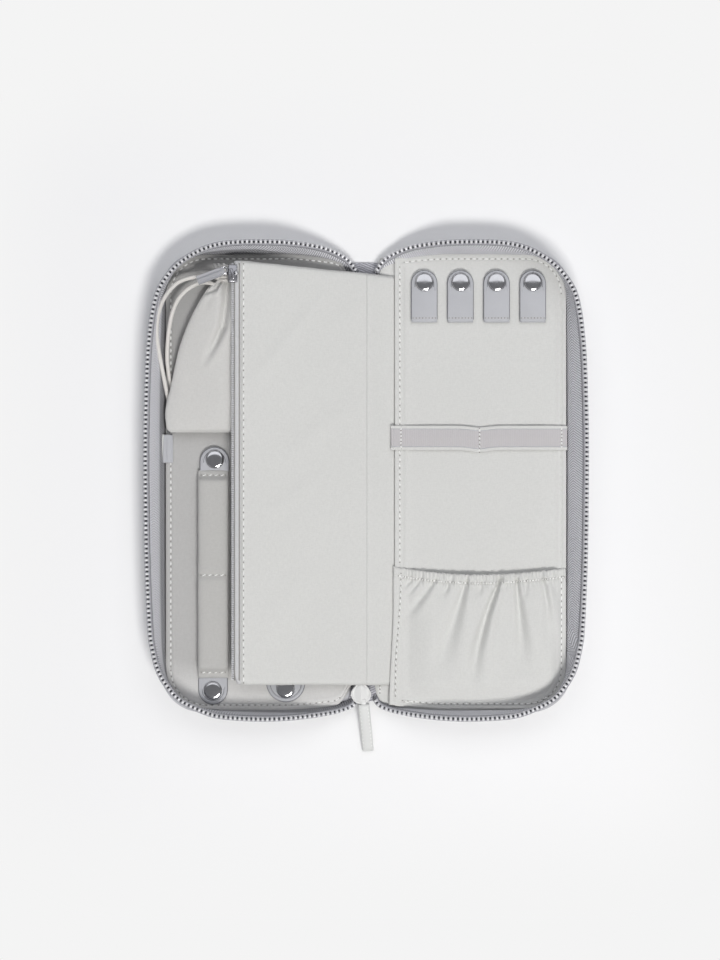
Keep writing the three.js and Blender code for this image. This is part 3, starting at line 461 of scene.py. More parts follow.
def new_object(name, points, faces, material, uvs=None):
    """A smooth mesh object from points in millimetres."""
    mesh = bpy.data.meshes.new(name)
    mesh.from_pydata([tuple(c * MM for c in p) for p in points], [], faces)
    mesh.update()
    if uvs is not None:
        layer = mesh.uv_layers.new(name="UVMap")
        for loop in mesh.loops:
            layer.data[loop.index].uv = uvs[loop.vertex_index]
    fixer = bmesh.new()
    fixer.from_mesh(mesh)
    bmesh.ops.recalc_face_normals(fixer, faces=fixer.faces)
    fixer.to_mesh(mesh)
    fixer.free()
    for polygon in mesh.polygons:
        polygon.use_smooth = True
    made = bpy.data.objects.new(name, mesh)
    bpy.context.scene.collection.objects.link(made)
    made.data.materials.append(MATERIALS[material])
    return made


def carried(made, body, *nodes):
    """The piece rides a body and stands for nodes of the frame."""
    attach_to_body(made, body)
    if nodes:
        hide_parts(*nodes)
    return made


def bevelled(made, width, segments=2, angle=40):
    bevel = made.modifiers.new("edge", "BEVEL")
    bevel.width = width * MM
    bevel.segments = segments
    bevel.limit_method = "ANGLE"
    bevel.angle_limit = math.radians(angle)
    graph = bpy.context.evaluated_depsgraph_get()
    mesh = bpy.data.meshes.new_from_object(made.evaluated_get(graph))
    made.modifiers.clear()
    made.data = mesh
    return made


def grid_of(rows, columns, point):
    """Rows of points, each from its row's and its column's value."""
    return [[point(u, v) for u in columns] for v in rows]


def sheet_object(name, top, thickness, material, edge=0.3, uvs=None):
    """A cloth sheet from rows of points on its top side; its underside lies a thickness below."""
    grid = np.array(top, float)
    rows, columns = grid.shape[:2]
    normal = np.cross(np.gradient(grid, axis=1), np.gradient(grid, axis=0))
    normal /= np.linalg.norm(normal, axis=2, keepdims=True) + 1e-12
    if normal[:, :, 2].mean() < 0:
        normal = -normal
    bottom = grid - normal * thickness
    points = np.concatenate([grid.reshape(-1, 3), bottom.reshape(-1, 3)]).tolist()
    layer = rows * columns
    faces = []
    for j in range(rows - 1):
        for i in range(columns - 1):
            a = j * columns + i
            faces.append((a, a + 1, a + 1 + columns, a + columns))
            faces.append((a + layer, a + columns + layer, a + 1 + columns + layer, a + 1 + layer))
    rim = list(range(columns))
    rim += [j * columns + columns - 1 for j in range(1, rows)]
    rim += [(rows - 1) * columns + i for i in range(columns - 2, -1, -1)]
    rim += [j * columns for j in range(rows - 2, 0, -1)]
    for a, b in zip(rim, rim[1:] + rim[:1]):
        faces.append((a, a + layer, b + layer, b))
    both = None if uvs is None else list(uvs) + list(uvs)
    made = new_object(name, points, faces, material, both)
    if edge > 0:
        bevelled(made, min(edge, thickness * 0.45), 2, 50)
    return made


def add_skin(points, faces, rings):
    """Add a closed skin through rings with the same number of points."""
    first, sides = len(points), len(rings[0])
    points.extend(tuple(spot) for ring in rings for spot in ring)
    for k in range(len(rings) - 1):
        for s in range(sides):
            a = first + k * sides + s
            b = first + k * sides + (s + 1) % sides
            faces.append((a, b, b + sides, a + sides))
    faces.append(tuple(range(first, first + sides)))
    faces.append(tuple(range(len(points) - sides, len(points))))


def loft_object(name, rings, material, uvs=None):
    points, faces = [], []
    add_skin(points, faces, rings)
    return new_object(name, points, faces, material, uvs)


def ring_at(centre, aside, above, radius, sides):
    return [centre + (aside * math.cos(angle) + above * math.sin(angle)) * radius for angle in angles(sides)]


def tube_object(name, path, radius, material, sides=10):
    path = [np.array(p, float) for p in path]
    rings = []
    for i, spot in enumerate(path):
        ahead = path[min(i + 1, len(path) - 1)] - path[max(i - 1, 0)]
        ahead /= np.linalg.norm(ahead)
        aside = np.cross(ahead, (0, 0, 1))
        if np.linalg.norm(aside) < 1e-3:
            aside = np.array((1.0, 0, 0))
        aside /= np.linalg.norm(aside)
        rings.append(ring_at(spot, aside, np.cross(aside, ahead), radius, sides))
    return loft_object(name, rings, material)


def turned_object(name, profile, centre, material, segments=64):
    """A turned piece around Z from a profile of radius and height, from the axis to the axis."""
    x, y, z = centre
    points, faces, rings = [], [], []
    for radius, height in profile:
        turns = angles(segments) if radius > 0 else [0]
        rings.append(range(len(points), len(points) + len(turns)))
        points.extend((x + radius * math.cos(turn), y + radius * math.sin(turn), z + height)
                      for turn in turns)
    for lower, upper in zip(rings, rings[1:]):
        for i in range(segments):
            k = (i + 1) % segments
            below = [lower[i % len(lower)], lower[k % len(lower)]]
            above = [upper[k % len(upper)], upper[i % len(upper)]]
            corners = tuple(dict.fromkeys(below + above))
            if len(corners) > 2:
                faces.append(corners)
    return new_object(name, points, faces, material)


def outline_object(name, outline, z, thickness, material, edge, segments=2):
    """A flat piece from a closed outline of x and y."""
    count = len(outline)
    points = [(x, y, z) for x, y in outline] + [(x, y, z + thickness) for x, y in outline]
    faces = [tuple(range(count)), tuple(range(count, 2 * count))]
    for i in range(count):
        k = (i + 1) % count
        faces.append((i, k, k + count, i + count))
    return bevelled(new_object(name, points, faces, material), edge, segments)


def box_object(name, size, centre, material, edge, turn=0.0, tilt=0.0):
    """A bevelled block with its centre in place, turned about Z and then tilted about Y."""
    sx, sy, sz = (s / 2 for s in size)
    spin = Matrix.Rotation(tilt, 3, "Y") @ Matrix.Rotation(turn, 3, "Z")
    points = []
    for x in (-sx, sx):
        for y in (-sy, sy):
            for z in (-sz, sz):
                points.append(tuple(Vector(centre) + spin @ Vector((x, y, z))))
    faces = [(0, 1, 3, 2), (4, 6, 7, 5), (0, 4, 5, 1), (2, 3, 7, 6), (0, 2, 6, 4), (1, 5, 7, 3)]
    made = new_object(name, points, faces, material)
    return bevelled(made, edge, 3)


def joined(objects, name):
    """One object from several, under the first one's name and with its material first."""
    first = objects[0]
    with bpy.context.temp_override(active_object=first, object=first, selected_objects=objects,
                                   selected_editable_objects=objects):
        bpy.ops.object.join()
    first.name = name
    return first


def resampled(path, step, space=3):
    """Points at even steps along a path, whose length is measured in its first two or three coordinates."""
    path = np.array(path, float)
    lengths = np.concatenate([[0], np.cumsum(np.linalg.norm(np.diff(path[:, :space], axis=0), axis=1))])
    count = max(int(round(lengths[-1] / step)), 1)
    at = np.linspace(0, lengths[-1], count + 1)
    return np.stack([np.interp(at, lengths, column) for column in path.T], axis=1)


# A stitch's sections: share of its length, width and rise, both in radii
STITCH_SECTIONS = [(-0.5, 0.35, -0.8), (-0.36, 0.85, -0.15), (0.0, 1.0, 0.25), (0.36, 0.85, -0.15),
                   (0.5, 0.35, -0.8)]
STITCH_SINK = 0.1


def stitches(name, path, up=(0, 0, 1), pitch=STITCH_PITCH, length=STITCH_LENGTH, radius=STITCH_RADIUS,
             slant=0.0, material="thread"):
    """A row of thread stitches along a path, each a small rounded bar that dips at its ends."""
    places = resampled(path, pitch)
    up = np.array(up, float)
    points, faces = [], []
    for a, b in zip(places, places[1:]):
        along = (b - a) / (np.linalg.norm(b - a) + 1e-12)
        aside = np.cross(up, along)
        aside /= np.linalg.norm(aside) + 1e-12
        along = along * math.cos(slant) + aside * math.sin(slant)
        aside = np.cross(up, along)
        add_skin(points, faces, [
            ring_at((a + b) / 2 + along * share * length + up * (rise * radius - STITCH_SINK), aside, up,
                    radius * width, 6)
            for share, width, rise in STITCH_SECTIONS])
    return new_object(name, points, faces, material)


def needle_hole_shade(name, path, up, pitch):
    """Small dark dots of painted shade where the thread of a seam dimples the cloth, between its stitches."""
    up = np.array(up, float)
    places = resampled(path, pitch)
    points, faces = [], []
    for i, spot in enumerate(places):
        along = places[min(i + 1, len(places) - 1)] - places[max(i - 1, 0)]
        along /= np.linalg.norm(along) + 1e-12
        first = len(points)
        points.append(spot + up * 0.08)
        points.extend(ring_at(spot + up * 0.03, np.cross(up, along), along * 0.8, 0.36, 8))
        faces.extend((first, first + 1 + s, first + 1 + (s + 1) % 8) for s in range(8))
    return new_object(name, points, faces, "painted_shade")


def sew(name, path, attach, up=(0, 0, 1), pitch=STITCH_PITCH, holes=True, **look):
    """A seam of stitches with dark dots of painted shade at its needle holes, both carried by attach."""
    attach(stitches(name, path, up, pitch, **look))
    if holes:
        attach(needle_hole_shade(f"{name}_holes", path, up, pitch))


def bend_at_fold(made):
    """The piece's transform is baked into its mesh; it does not bend where the cover folds."""
    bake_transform(made)


def on(body):
    """For sew: the seam rides one body."""
    return lambda made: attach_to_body(made, body)


def over_fold():
    """For sew: the seam's transform is baked into its mesh; it does not bend where the cover folds."""
    return lambda made: bend_at_fold(made)


def crease(x, y, path, depth, near, far):
    """Height of a soft fold along a path, which starts at the path's first point and fades at its last.

    Its valley lies on the path and its ridge to the right. near and far are its widths at the ends."""
    best = None
    done = 0.0
    total = sum(math.dist(a, b) for a, b in zip(path, path[1:]))
    for (ax, ay), (bx, by) in zip(path, path[1:]):
        length = math.dist((ax, ay), (bx, by))
        ux, uy = (bx - ax) / length, (by - ay) / length
        run = min(max((x - ax) * ux + (y - ay) * uy, 0.0), length)
        off = math.dist((x, y), (ax + ux * run, ay + uy * run))
        side = (x - ax) * -uy + (y - ay) * ux
        if best is None or off < best[0]:
            best = (off, math.copysign(1, side), (done + run) / total)
        done += length
    off, side, share = best
    width = lerp(near, far, share)
    ridge = 0.45 * bell(off * side, 2.0 * width, 1.5 * width)
    return depth * (1 - smooth(0.45, 1.0, share)) * (ridge - bell(off, 0, width))


def smooth_path(points, step):
    """A curve through the points, at even steps."""
    points = np.array(points, float)
    ends = np.concatenate([[2 * points[0] - points[1]], points, [2 * points[-1] - points[-2]]])
    fine = []
    for i in range(1, len(ends) - 2):
        p0, p1, p2, p3 = ends[i - 1:i + 3]
        for t in np.linspace(0, 1, 12, endpoint=False):
            fine.append(0.5 * (2 * p1 + (p2 - p0) * t + (2 * p0 - 5 * p1 + 4 * p2 - p3) * t * t
                               + (3 * p1 - p0 - 3 * p2 + p3) * t ** 3))
    fine.append(points[-1])
    return resampled(fine, step, 3 if len(points[0]) == 3 else 2)


MATERIALS = make_materials()
add_camera()
add_lamps()
add_world()
add_floor()


# Drawstring: the same route as the frame's cord solids

CORD_A = [
    (-72.9, 101, 9.2), (-78, 102.4, 9.8), (-85, 101.6, 10.6), (-92.4, 99.2, 11.6), (-97.6, 94.4, 12.2),
    (-101, 88.6, 12.8), (-103.2, 80.6, 13), (-103.5, 72, 12.8), (-102.6, 64.8, 11.4), (-101.2, 56.2, 9.2),
    (-99.6, 47, 6.6), (-98.6, 42, 5.2), (-97.8, 38.6, 4.95),
]
CORD_B = [
    (-75.3, 98, 9.2), (-78.2, 98.8, 9.8), (-82.5, 98.6, 10.4), (-88.2, 95.6, 11), (-92.8, 90.8, 11.2),
    (-95.8, 84.4, 11), (-97.6, 76.2, 10.2), (-98.6, 67.4, 9), (-98.8, 60, 7.6), (-98, 52.4, 5.8),
    (-96.4, 45.6, 4.95), (-95.6, 41.2, 4.9), (-95, 38.6, 4.9),
]
KNOT_CENTRE = (-96.4, 35.2, 4.95)
CORD_RADIUS = 1.0
KNOT_STEPS = 90


def add_cord(name, route, body):
    """A cord along a route, with its length and where it starts, in metres."""
    curve = bpy.data.curves.new(name, "CURVE")
    curve.dimensions = "3D"
    curve.bevel_depth = CORD_RADIUS * MM
    curve.bevel_resolution = 4
    curve.use_fill_caps = True
    path = smooth_path(route, 1.2)
    spline = curve.splines.new("POLY")
    spline.points.add(len(path) - 1)
    for point, place in zip(spline.points, path):
        point.co = (*(place * MM), 1)
    made = bpy.data.objects.new(name, curve)
    bpy.context.scene.collection.objects.link(made)
    curve.materials.append(MATERIALS["cord"])
    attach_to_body(made, body)
    length = float(np.linalg.norm(np.diff(path, axis=0), axis=1).sum()) * MM
    return made, length, tuple(path[0] * MM)


def add_knot():
    """The overhand knot that joins the cord's two ends: one closed trefoil."""
    turns = []
    for t in angles(KNOT_STEPS):
        x = KNOT_CENTRE[0] + 1.05 * (math.sin(t) + 2 * math.sin(2 * t)) * 0.62
        y = KNOT_CENTRE[1] + 1.05 * (math.cos(t) - 2 * math.cos(2 * t)) * 0.62
        turns.append(np.array((x, y, KNOT_CENTRE[2] + 0.35 + 0.55 * -math.sin(3 * t))))
    points, faces = [], []
    sides = 10
    for i, centre in enumerate(turns):
        following = (i + 1) % KNOT_STEPS
        ahead = turns[following] - turns[i - 1]
        ahead /= np.linalg.norm(ahead)
        aside = np.cross(ahead, (0, 0, 1))
        aside /= np.linalg.norm(aside)
        points.extend(ring_at(centre, aside, np.cross(aside, ahead), 0.92, sides))
        for s in range(sides):
            k = (s + 1) % sides
            faces.append((i * sides + s, i * sides + k, following * sides + k, following * sides + s))
    knot = new_object("drawstring_knot_turns", points, faces, "cord")
    return carried(knot, "left_leaf", "drawstring_knot")


def add_drawstring():
    knot = add_knot()
    for name, route, node in (("cord_left", CORD_A, "drawstring_a"), ("cord_right", CORD_B, "drawstring_b")):
        made, length, start = add_cord(name, route, "left_leaf")
        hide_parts(node)
        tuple(start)


add_drawstring()


# Shell: cover, linings, zip walls and teeth

# The zip on the right leaf, from the top of the spine round to its bottom:
# x and y of the teeth's line, then x and y of the wall's foot below it.
RIM = [
    (5.0, 104.6, 4.0, 102.2), (9.4, 110.2, 9.2, 105.6), (17.3, 114.4, 17.0, 109.4),
    (25.6, 116.6, 25.0, 111.9), (38.0, 117.8, 38.0, 113.8), (51.0, 118.2, 52.0, 114.0),
    (62.0, 118.1, 66.0, 114.0), (71.5, 117.2, 76.0, 113.9), (79.2, 115.2, 84.0, 113.6),
    (86.7, 111.6, 90.0, 111.7), (93.2, 106.9, 95.0, 108.1), (98.2, 101.3, 97.6, 103.4),
    (102.5, 94.0, 99.6, 98.3), (104.8, 85.0, 100.35, 91.0), (106.2, 75.2, 100.4, 78.0),
    (107.4, 60.0, 100.4, 60.0), (108.3, 30.0, 100.4, 30.0), (108.4, 0.0, 100.4, 0.0),
    (107.8, -40.0, 100.4, -40.0), (106.4, -72.0, 100.4, -73.0), (105.2, -82.0, 100.35, -88.0),
    (102.3, -93.1, 99.6, -97.8), (97.6, -101.2, 97.6, -103.2), (91.6, -107.6, 95.0, -107.9),
    (82.0, -112.4, 89.0, -111.9), (72.0, -115.4, 78.0, -113.9), (55.0, -116.6, 57.0, -114.2),
    (40.0, -116.4, 40.0, -114.0), (26.6, -115.5, 25.5, -112.8), (16.5, -114.2, 16.0, -111.4),
    (9.6, -112.4, 9.0, -109.4), (6.2, -110.6, 6.0, -107.6), (4.6, -107.8, 4.4, -105.0),
]
WALL_HALF = 0.6
WALL_FOOT_Z = 1.8
WALL_RIBS = 7
# the foot's shade in the tape's colour is painted shade
WALL_PLAIN = 4 * TAPE_ZIGZAG    # added to V, it keeps the foot's shade off a wall
TOOTH_PITCH = 2.27
TOOTH_HEIGHT = 1.75
# Across, along and height of the rounded sections that make one tooth
TOOTH_SECTIONS = [
    (2.2, 1.2, -1.0), (2.4, 1.4, -0.6), (2.4, 1.46, 0.45), (2.1, 1.42, 0.9),
    (1.7, 1.35, 1.15), (1.4, 1.2, 1.45), (0.9, 0.8, TOOTH_HEIGHT),
]
# Across and height of the bead that the teeth sit on, and of the dark strips between the teeth; both are
# coloured as painted shade between the teeth
BED_SECTION = [(-1.35, -1.0), (1.35, -1.0), (1.4, 0.35), (1.0, 0.8), (0.5, 0.3), (-0.5, 0.3), (-1.0, 0.8),
               (-1.4, 0.35)]
GAP_SHADE_SECTION = [(-0.6, 0.0), (0.6, 0.0), (0.6, 0.42), (-0.6, 0.42)]


def rim_z(x):
    """Height of the wall's top edge, which dips beside the spine."""
    return 4.6 + 12.8 * smooth(4, 46, abs(x))


def rim_lines(step):
    """The wall's top edge and its foot, in matching points."""
    pairs = smooth_path(RIM, step)
    top = np.stack([pairs[:, 0], pairs[:, 1], [rim_z(x) for x in pairs[:, 0]]], axis=1)
    foot = np.stack([pairs[:, 2], pairs[:, 3], np.full(len(pairs), WALL_FOOT_Z)], axis=1)
    return top, foot


def outward(line):
    ahead = np.gradient(line[:, :2], axis=0)
    ahead /= np.linalg.norm(ahead, axis=1, keepdims=True)
    return np.stack([-ahead[:, 1], ahead[:, 0], np.zeros(len(line))], axis=1)


def mirror(points, side):
    return [(p[0] * side, p[1], p[2]) for p in points]


def fold_columns(start, end, coarse=4.0):
    """Values of x that lie close together at both edges and where the cover folds."""
    values = []
    x = start
    while x < end - 0.3:
        values.append(x)
        if x < start + 5:
            x += 0.45
        elif x < 26:
            x += 1.1
        elif end - x < 22:
            x += max((end - x) * 0.12, 0.35)
        else:
            x += coarse
    values.append(end)
    return values


def leaf_half_y(x, slope, full, edge_x, corner):
    """Half length of a leaf's layer at a distance x from the spine's middle."""
    if x < LEVEL_X:
        return full - slope * (1 - max(x, 0) / LEVEL_X) ** 1.6
    past = max(x - (edge_x - corner), 0)
    return full - corner + math.sqrt(max(corner ** 2 - past ** 2, 0))


ROW_INSETS = [0, 0.5, 1.1, 1.7, 2.1, 2.5, 2.9, 3.4, 4.0, 4.7, 5.5, 7.0, 9.5, 13.0, 17.0]
ROW_LENGTH = 113            # the insets are distances from the end of a layer this long


def layer_grid(columns, half_y, z_of):
    """Rows of points that lie closer together near the two ends."""
    shares = [1 - inset / ROW_LENGTH for inset in ROW_INSETS]
    middle = list(np.linspace(shares[-1], -shares[-1], 39))[1:-1]
    grid = []
    for v in [-s for s in shares] + middle[::-1] + shares[::-1]:
        places = [(x, v * half_y(abs(x))) for x in columns]
        grid.append([(x, y, z_of(x, y)) for x, y in places])
    return grid


def lining_half_y(x):
    return leaf_half_y(x, END_SLOPE, PANEL_TOP, PANEL_EDGE, PANEL_CORNER)


def left_lining_half_y(x):
    """The left panel is cut away in a curve beside the slider."""
    return lining_half_y(x) - 9.5 * (1 - smooth(6.5, 17, x)) ** 2


def edge_distance(x, y, half_y):
    """How far a point of a leaf's panel lies inside its outer edge."""
    x, y = abs(x), abs(y)
    middle_x = PANEL_EDGE - PANEL_CORNER
    middle_y = half_y(middle_x) - PANEL_CORNER
    if x > middle_x and y > middle_y:
        return PANEL_CORNER - math.hypot(x - middle_x, y - middle_y)
    return min(PANEL_EDGE - x, half_y(x) - y)


def seam_relief(inside):
    """A bound edge: a raised border with the seam's groove in it."""
    border = 0.28 * (1 - smooth(4.2, 5.4, inside)) * smooth(0, 0.8, inside)
    return border - 0.42 * bell(inside, SEAM_INSET, 0.55)


def over_page(x):
    """How much the page's margin lifts what lies over it beside the spine."""
    return 2.3 * (1 - smooth(14.5, 22, x))


def soft_dents(x, y, size, seed):
    return 0.3 * noise.noise(Vector((x / size, y / size * 0.7, seed)))


LINING_THICK = 2.3


def cover_half_y(x):
    return leaf_half_y(x, 7.9, 115.1, COVER_EDGE, 21)


def add_covers():
    for side, name, nodes in ((-1, "left", ("left_cover", "spine_cover")), (1, "right", ("right_cover",))):
        columns = [side * x for x in fold_columns(0, COVER_EDGE)]
        grid = layer_grid(columns, cover_half_y, lambda x, y: COVER_TOP)
        made = sheet_object(f"cover_{name}", grid, COVER_TOP, "cover", 0.45)
        bend_at_fold(made)
        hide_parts(*nodes)


def right_lining_z(x, y):
    """The right panel's bound edge lies over the page's margin, and the tabs lie in a shallow."""
    inside = min(edge_distance(x, y, lining_half_y), x - PANEL_START)
    below_tabs = smooth(48, 56, y) * (1 - smooth(80, 86, y))
    dents = soft_dents(x, y, 26, 0.0) * smooth(20, 40, x) - 0.2 * below_tabs
    return INSIDE_Z + over_page(x) + dents + seam_relief(inside)


def left_lining_z(x, y):
    inside = edge_distance(x, y, left_lining_half_y)
    return INSIDE_Z + 0.15 + soft_dents(x, y, 24, 4.0) * smooth(24, 40, -x) + seam_relief(inside)


def add_linings():
    for side, name, start, half_y, z_of, material in (
            (1, "right", PANEL_START, lining_half_y, right_lining_z, "lining"),
            (-1, "left", 7, left_lining_half_y, left_lining_z, "lining_left")):
        columns = [side * x for x in fold_columns(start, PANEL_EDGE)]
        grid = layer_grid(columns, half_y, z_of)
        made = sheet_object(f"lining_{name}_panel", grid, LINING_THICK, material, 0.4)
        bend_at_fold(made)
        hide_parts(f"{name}_lining", f"{name}_board")

    def middle_point(x, v):
        half = 99.5 + 12.4 * math.sqrt(smooth(4.0, 7.4, x)) * (1 - 0.04 * smooth(12, 15.5, x))
        return (x, v * half, INSIDE_Z - 0.15 - 0.5 * (1 - smooth(0, 1.5, half * (1 - abs(v)))))

    middle = grid_of([-1 + j / 30 for j in range(61)], [-9 + 24.5 * i / 24 for i in range(25)], middle_point)
    made = sheet_object("lining_spine_panel", middle, LINING_THICK - 0.3, "lining")
    carried(made, "spine", "spine_lining", "spine_board")


def painted_wall_shade(side, x, y):
    """What is added to V on a wall's inner face, which sets how far up the tape's painted foot shade reaches:
    on the right wall only along its bottom, higher on the left wall, and highest along its top away from the
    spine and the corners.
    """
    if side > 0:
        return WALL_PLAIN * (1 - smooth(-70, -96, y))
    if y > 100:
        return -7.0 * smooth(36, 56, x) * (1 - smooth(80, 98, x))
    return -4.5


def add_walls():
    top, foot = rim_lines(2.0)
    top_out, foot_out = outward(top), outward(foot)
    run = np.concatenate([[0], np.cumsum(np.linalg.norm(np.diff(top, axis=0), axis=1))])
    for side, name in ((-1, "left"), (1, "right")):
        rings, uvs = [], []
        for i in range(len(top)):
            ring = []
            height = float(np.linalg.norm(top[i] - foot[i]))
            x, y = top[i][:2]
            # on the inner face V is shifted, and squeezed a little at the bottom, which sets how far up the
            # painted foot shade reaches
            low = lerp(1, 0.95, smooth(-98, -108, y))
            for face, order, stretch, lift in ((-1, range(WALL_RIBS), low, painted_wall_shade(side, x, y)),
                                               (1, reversed(range(WALL_RIBS)), 1, WALL_PLAIN)):
                for k in order:
                    share = k / (WALL_RIBS - 1)
                    belly = -0.9 * math.sin(math.pi * share) * smooth(20, 60, x)
                    centre = foot[i] * (1 - share) + top[i] * share
                    out = foot_out[i] * (1 - share) + top_out[i] * share
                    ring.append(centre + out * (belly + face * WALL_HALF))
                    uvs.append((run[i], share * height * stretch + lift))
            rings.append(mirror(ring, side))
        made = loft_object(f"tape_wall_{name}", rings, "tape", uvs)
        bend_at_fold(made)
        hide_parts(f"{name}_gusset")
        add_chain_bed(name, side, top, foot)
        add_teeth(name, side)


def add_chain_bed(name, side, top, foot):
    """The bead that the teeth sit on and the dark strips that show between the teeth, both coloured as
    painted shade.
    """
    ahead = np.gradient(top, axis=0)
    for kind, section, material in (("bed", BED_SECTION, "chain_bead_shade"), ("gap_shade", GAP_SHADE_SECTION, "chain_gap_shade")):
        rings = []
        for i in range(len(top)):
            lean = (top[i] - foot[i]) / np.linalg.norm(top[i] - foot[i])
            across = np.cross(lean, ahead[i])
            across /= np.linalg.norm(across)
            rings.append(mirror([top[i] + across * a + lean * b for a, b in section], side))
        bend_at_fold(loft_object(f"chain_{kind}_{name}", rings, material))


def add_teeth(name, side):
    top, foot = rim_lines(TOOTH_PITCH)
    points, faces = [], []
    for i in range(len(top) - 1):
        centre = (top[i] + top[i + 1]) / 2
        along = top[i + 1] - top[i]
        along /= np.linalg.norm(along)
        up = centre - (foot[i] + foot[i + 1]) / 2
        up /= np.linalg.norm(up)
        up = up - along * np.dot(up, along)
        up /= np.linalg.norm(up)
        across = np.cross(up, along)
        rings = []
        for wide, deep, height in TOOTH_SECTIONS:
            corners = [rounded_square(angle, 0.6, 0.6) for angle in angles(8, 0.5)]
            ring = [centre + across * a * wide / 2 + along * b * deep / 2 + up * height for a, b in corners]
            rings.append(mirror(ring, side))
        add_skin(points, faces, rings)
    made = new_object(f"teeth_{name}", points, faces, "teeth")
    bend_at_fold(made)
    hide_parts(f"{name}_zip_chain")


def add_zip_ends():
    """The tape that closes the valley at each end of the spine."""
    rows = [97.5 + 12.0 * j / 18 for j in range(19)]
    shares = [-1 + i / 10 for i in range(21)]

    def half(y):
        return 6.4 + 2.4 * smooth(102, 109.5, y)

    for end, name in ((1, "top"), (-1, "bottom")):
        grid = grid_of(rows, shares, lambda share, y: (
            share * half(y) - 0.3, end * y, 2.5 + 0.3 * share ** 2 - 1.5 * smooth(104.5, 109.5, y)))
        uvs = [(y, share * half(y) + 20) for y in rows for share in shares]
        made = sheet_object(f"zip_end_tape_{name}", grid, 0.8, "tape_dark", 0.25, uvs)
        carried(made, "spine", f"zip_end_{name}")


def corner_seam(top_y):
    """A seam's points round the outer corner of a piece that ends at top_y."""
    middle_x, middle_y = PANEL_EDGE - PANEL_CORNER, top_y - PANEL_CORNER
    reach = PANEL_CORNER - SEAM_INSET
    return [(middle_x + reach * math.cos(turn), middle_y + reach * math.sin(turn))
            for turn in np.radians(np.linspace(86, 0, 13))]


def panel_seam(half_y, z_of, side, start, end):
    """The seam along one end of a leaf's panel and round its corner, from the spine to the outer edge."""
    path = [(x, half_y(x) - SEAM_INSET) for x in np.linspace(start, 79, 26)] + corner_seam(PANEL_TOP)
    return [(side * x, end * y, z_of(side * x, end * y) + 0.2) for x, y in path]


def add_seams():
    """Stitch lines a little inside the linings' edges."""
    for end, name in ((1, "top"), (-1, "bottom")):
        path = panel_seam(lining_half_y, right_lining_z, 1, 19, end)
        sew(f"stitches_right_{name}", path, over_fold())
        path = panel_seam(left_lining_half_y, left_lining_z, -1, 13, end)
        sew(f"stitches_left_{name}", path, over_fold())

    def side_seam(x, z_of, start, end):
        return [(x, y, z_of(x, y) + 0.2) for y in np.linspace(start, end, 60)]

    edge = PANEL_EDGE - SEAM_INSET
    sew("stitches_right_side", side_seam(edge, right_lining_z, 92, -92), on("right_leaf"), holes=False,
        radius=0.26, material="lining")
    sew("stitches_left_side", side_seam(-edge, left_lining_z, 92, -92), on("left_leaf"))
    sew("stitches_right_spine", side_seam(PANEL_START + SEAM_INSET, right_lining_z, 107, -40), over_fold(),
        slant=0.3)
    for end, name in ((1, "top"), (-1, "bottom")):
        path = [(6.9, end * y, INSIDE_Z - 0.1) for y in (98.0, 105.2)]
        sew(f"stitches_spine_{name}", path, on("spine"), pitch=2.0, length=1.4, slant=0.5)


add_covers()
add_linings()
add_walls()
add_zip_ends()
add_seams()


# Zipped page. Distances run from its hinge towards its free edge, and are negative on the margin.

PAGE_REACH = 64.5
CLOTH_THICK = 0.9
CLOTH_REACH = 62.1          # where the front and back cloth end
MARGIN_REACH = 14.9
SEWN_Z = 4.7                # height of the margin's sewn edge
# Soft wrinkles of the front cloth: distance and y of both ends, width and height
PAGE_WRINKLES = [
    (16.0, 98.7, 59.0, 45.5, 3.0, 0.85), (2.5, 40.8, 45.5, 7.4, 4.5, 0.65),
    (25.5, 1.0, 50.0, -17.3, 3.6, 0.6), (27.0, -43.0, 50.0, -74.7, 7.0, 0.75),
    (47.0, -86.6, 42.2, -99.0, 1.8, 0.5), (-4.5, 97.0, 15.5, 72.0, 5.0, 0.45),
    (-11.0, -47.0, -4.5, -59.0, 4.0, 0.3),
]


def page_point(distance, y, height):
    """A point of the tilted page from its distance to the hinge and its height above the mid plane."""
    x = PAGE_HINGE[0] - distance * math.cos(PAGE_TILT) + height * math.sin(PAGE_TILT)
    z = PAGE_HINGE[1] + distance * math.sin(PAGE_TILT) + height * math.cos(PAGE_TILT)
    return (x, y, z)


def page_half_thick(distance):
    return lerp(1.2, 2.2, smooth(0, PAGE_REACH, distance))


def page_top_y(distance):
    return lerp(103.8, 109.4, distance / PAGE_REACH)


def page_bottom_y(distance):
    return lerp(-100.9, -100.0, distance / PAGE_REACH)


def page_waves(distance, y):
    total = 0.3 * noise.noise(Vector((distance / 21, y / 60, 2.5)))
    for ax, ay, bx, by, width, height in PAGE_WRINKLES:
        length = math.dist((ax, ay), (bx, by))
        ux, uy = (bx - ax) / length, (by - ay) / length
        run = (distance - ax) * ux + (y - ay) * uy
        off = (distance - ax) * -uy + (y - ay) * ux
        along = smooth(-6, 0.35 * length, run) * (1 - smooth(0.7 * length, length + 5, run))
        total += height * along * bell(off, 0, width)
    return total * smooth(-14.5, -8, distance) * smooth(62, 56, distance) + 0.9 * bell(distance, 1, 8.5)


def front_point(distance, y):
    """A point of the front cloth, on the page or on the margin past the fold."""
    if distance >= 0:
        return page_point(distance, y, page_half_thick(distance) + page_waves(distance, y))
    share = smooth(0, MARGIN_REACH, -distance)
    x, _, z = page_point(0, y, page_half_thick(0))
    z = lerp(z, SEWN_Z, 0.5 * share - 0.5 * distance / MARGIN_REACH)
    return (x - distance, y, z + page_waves(distance, y))


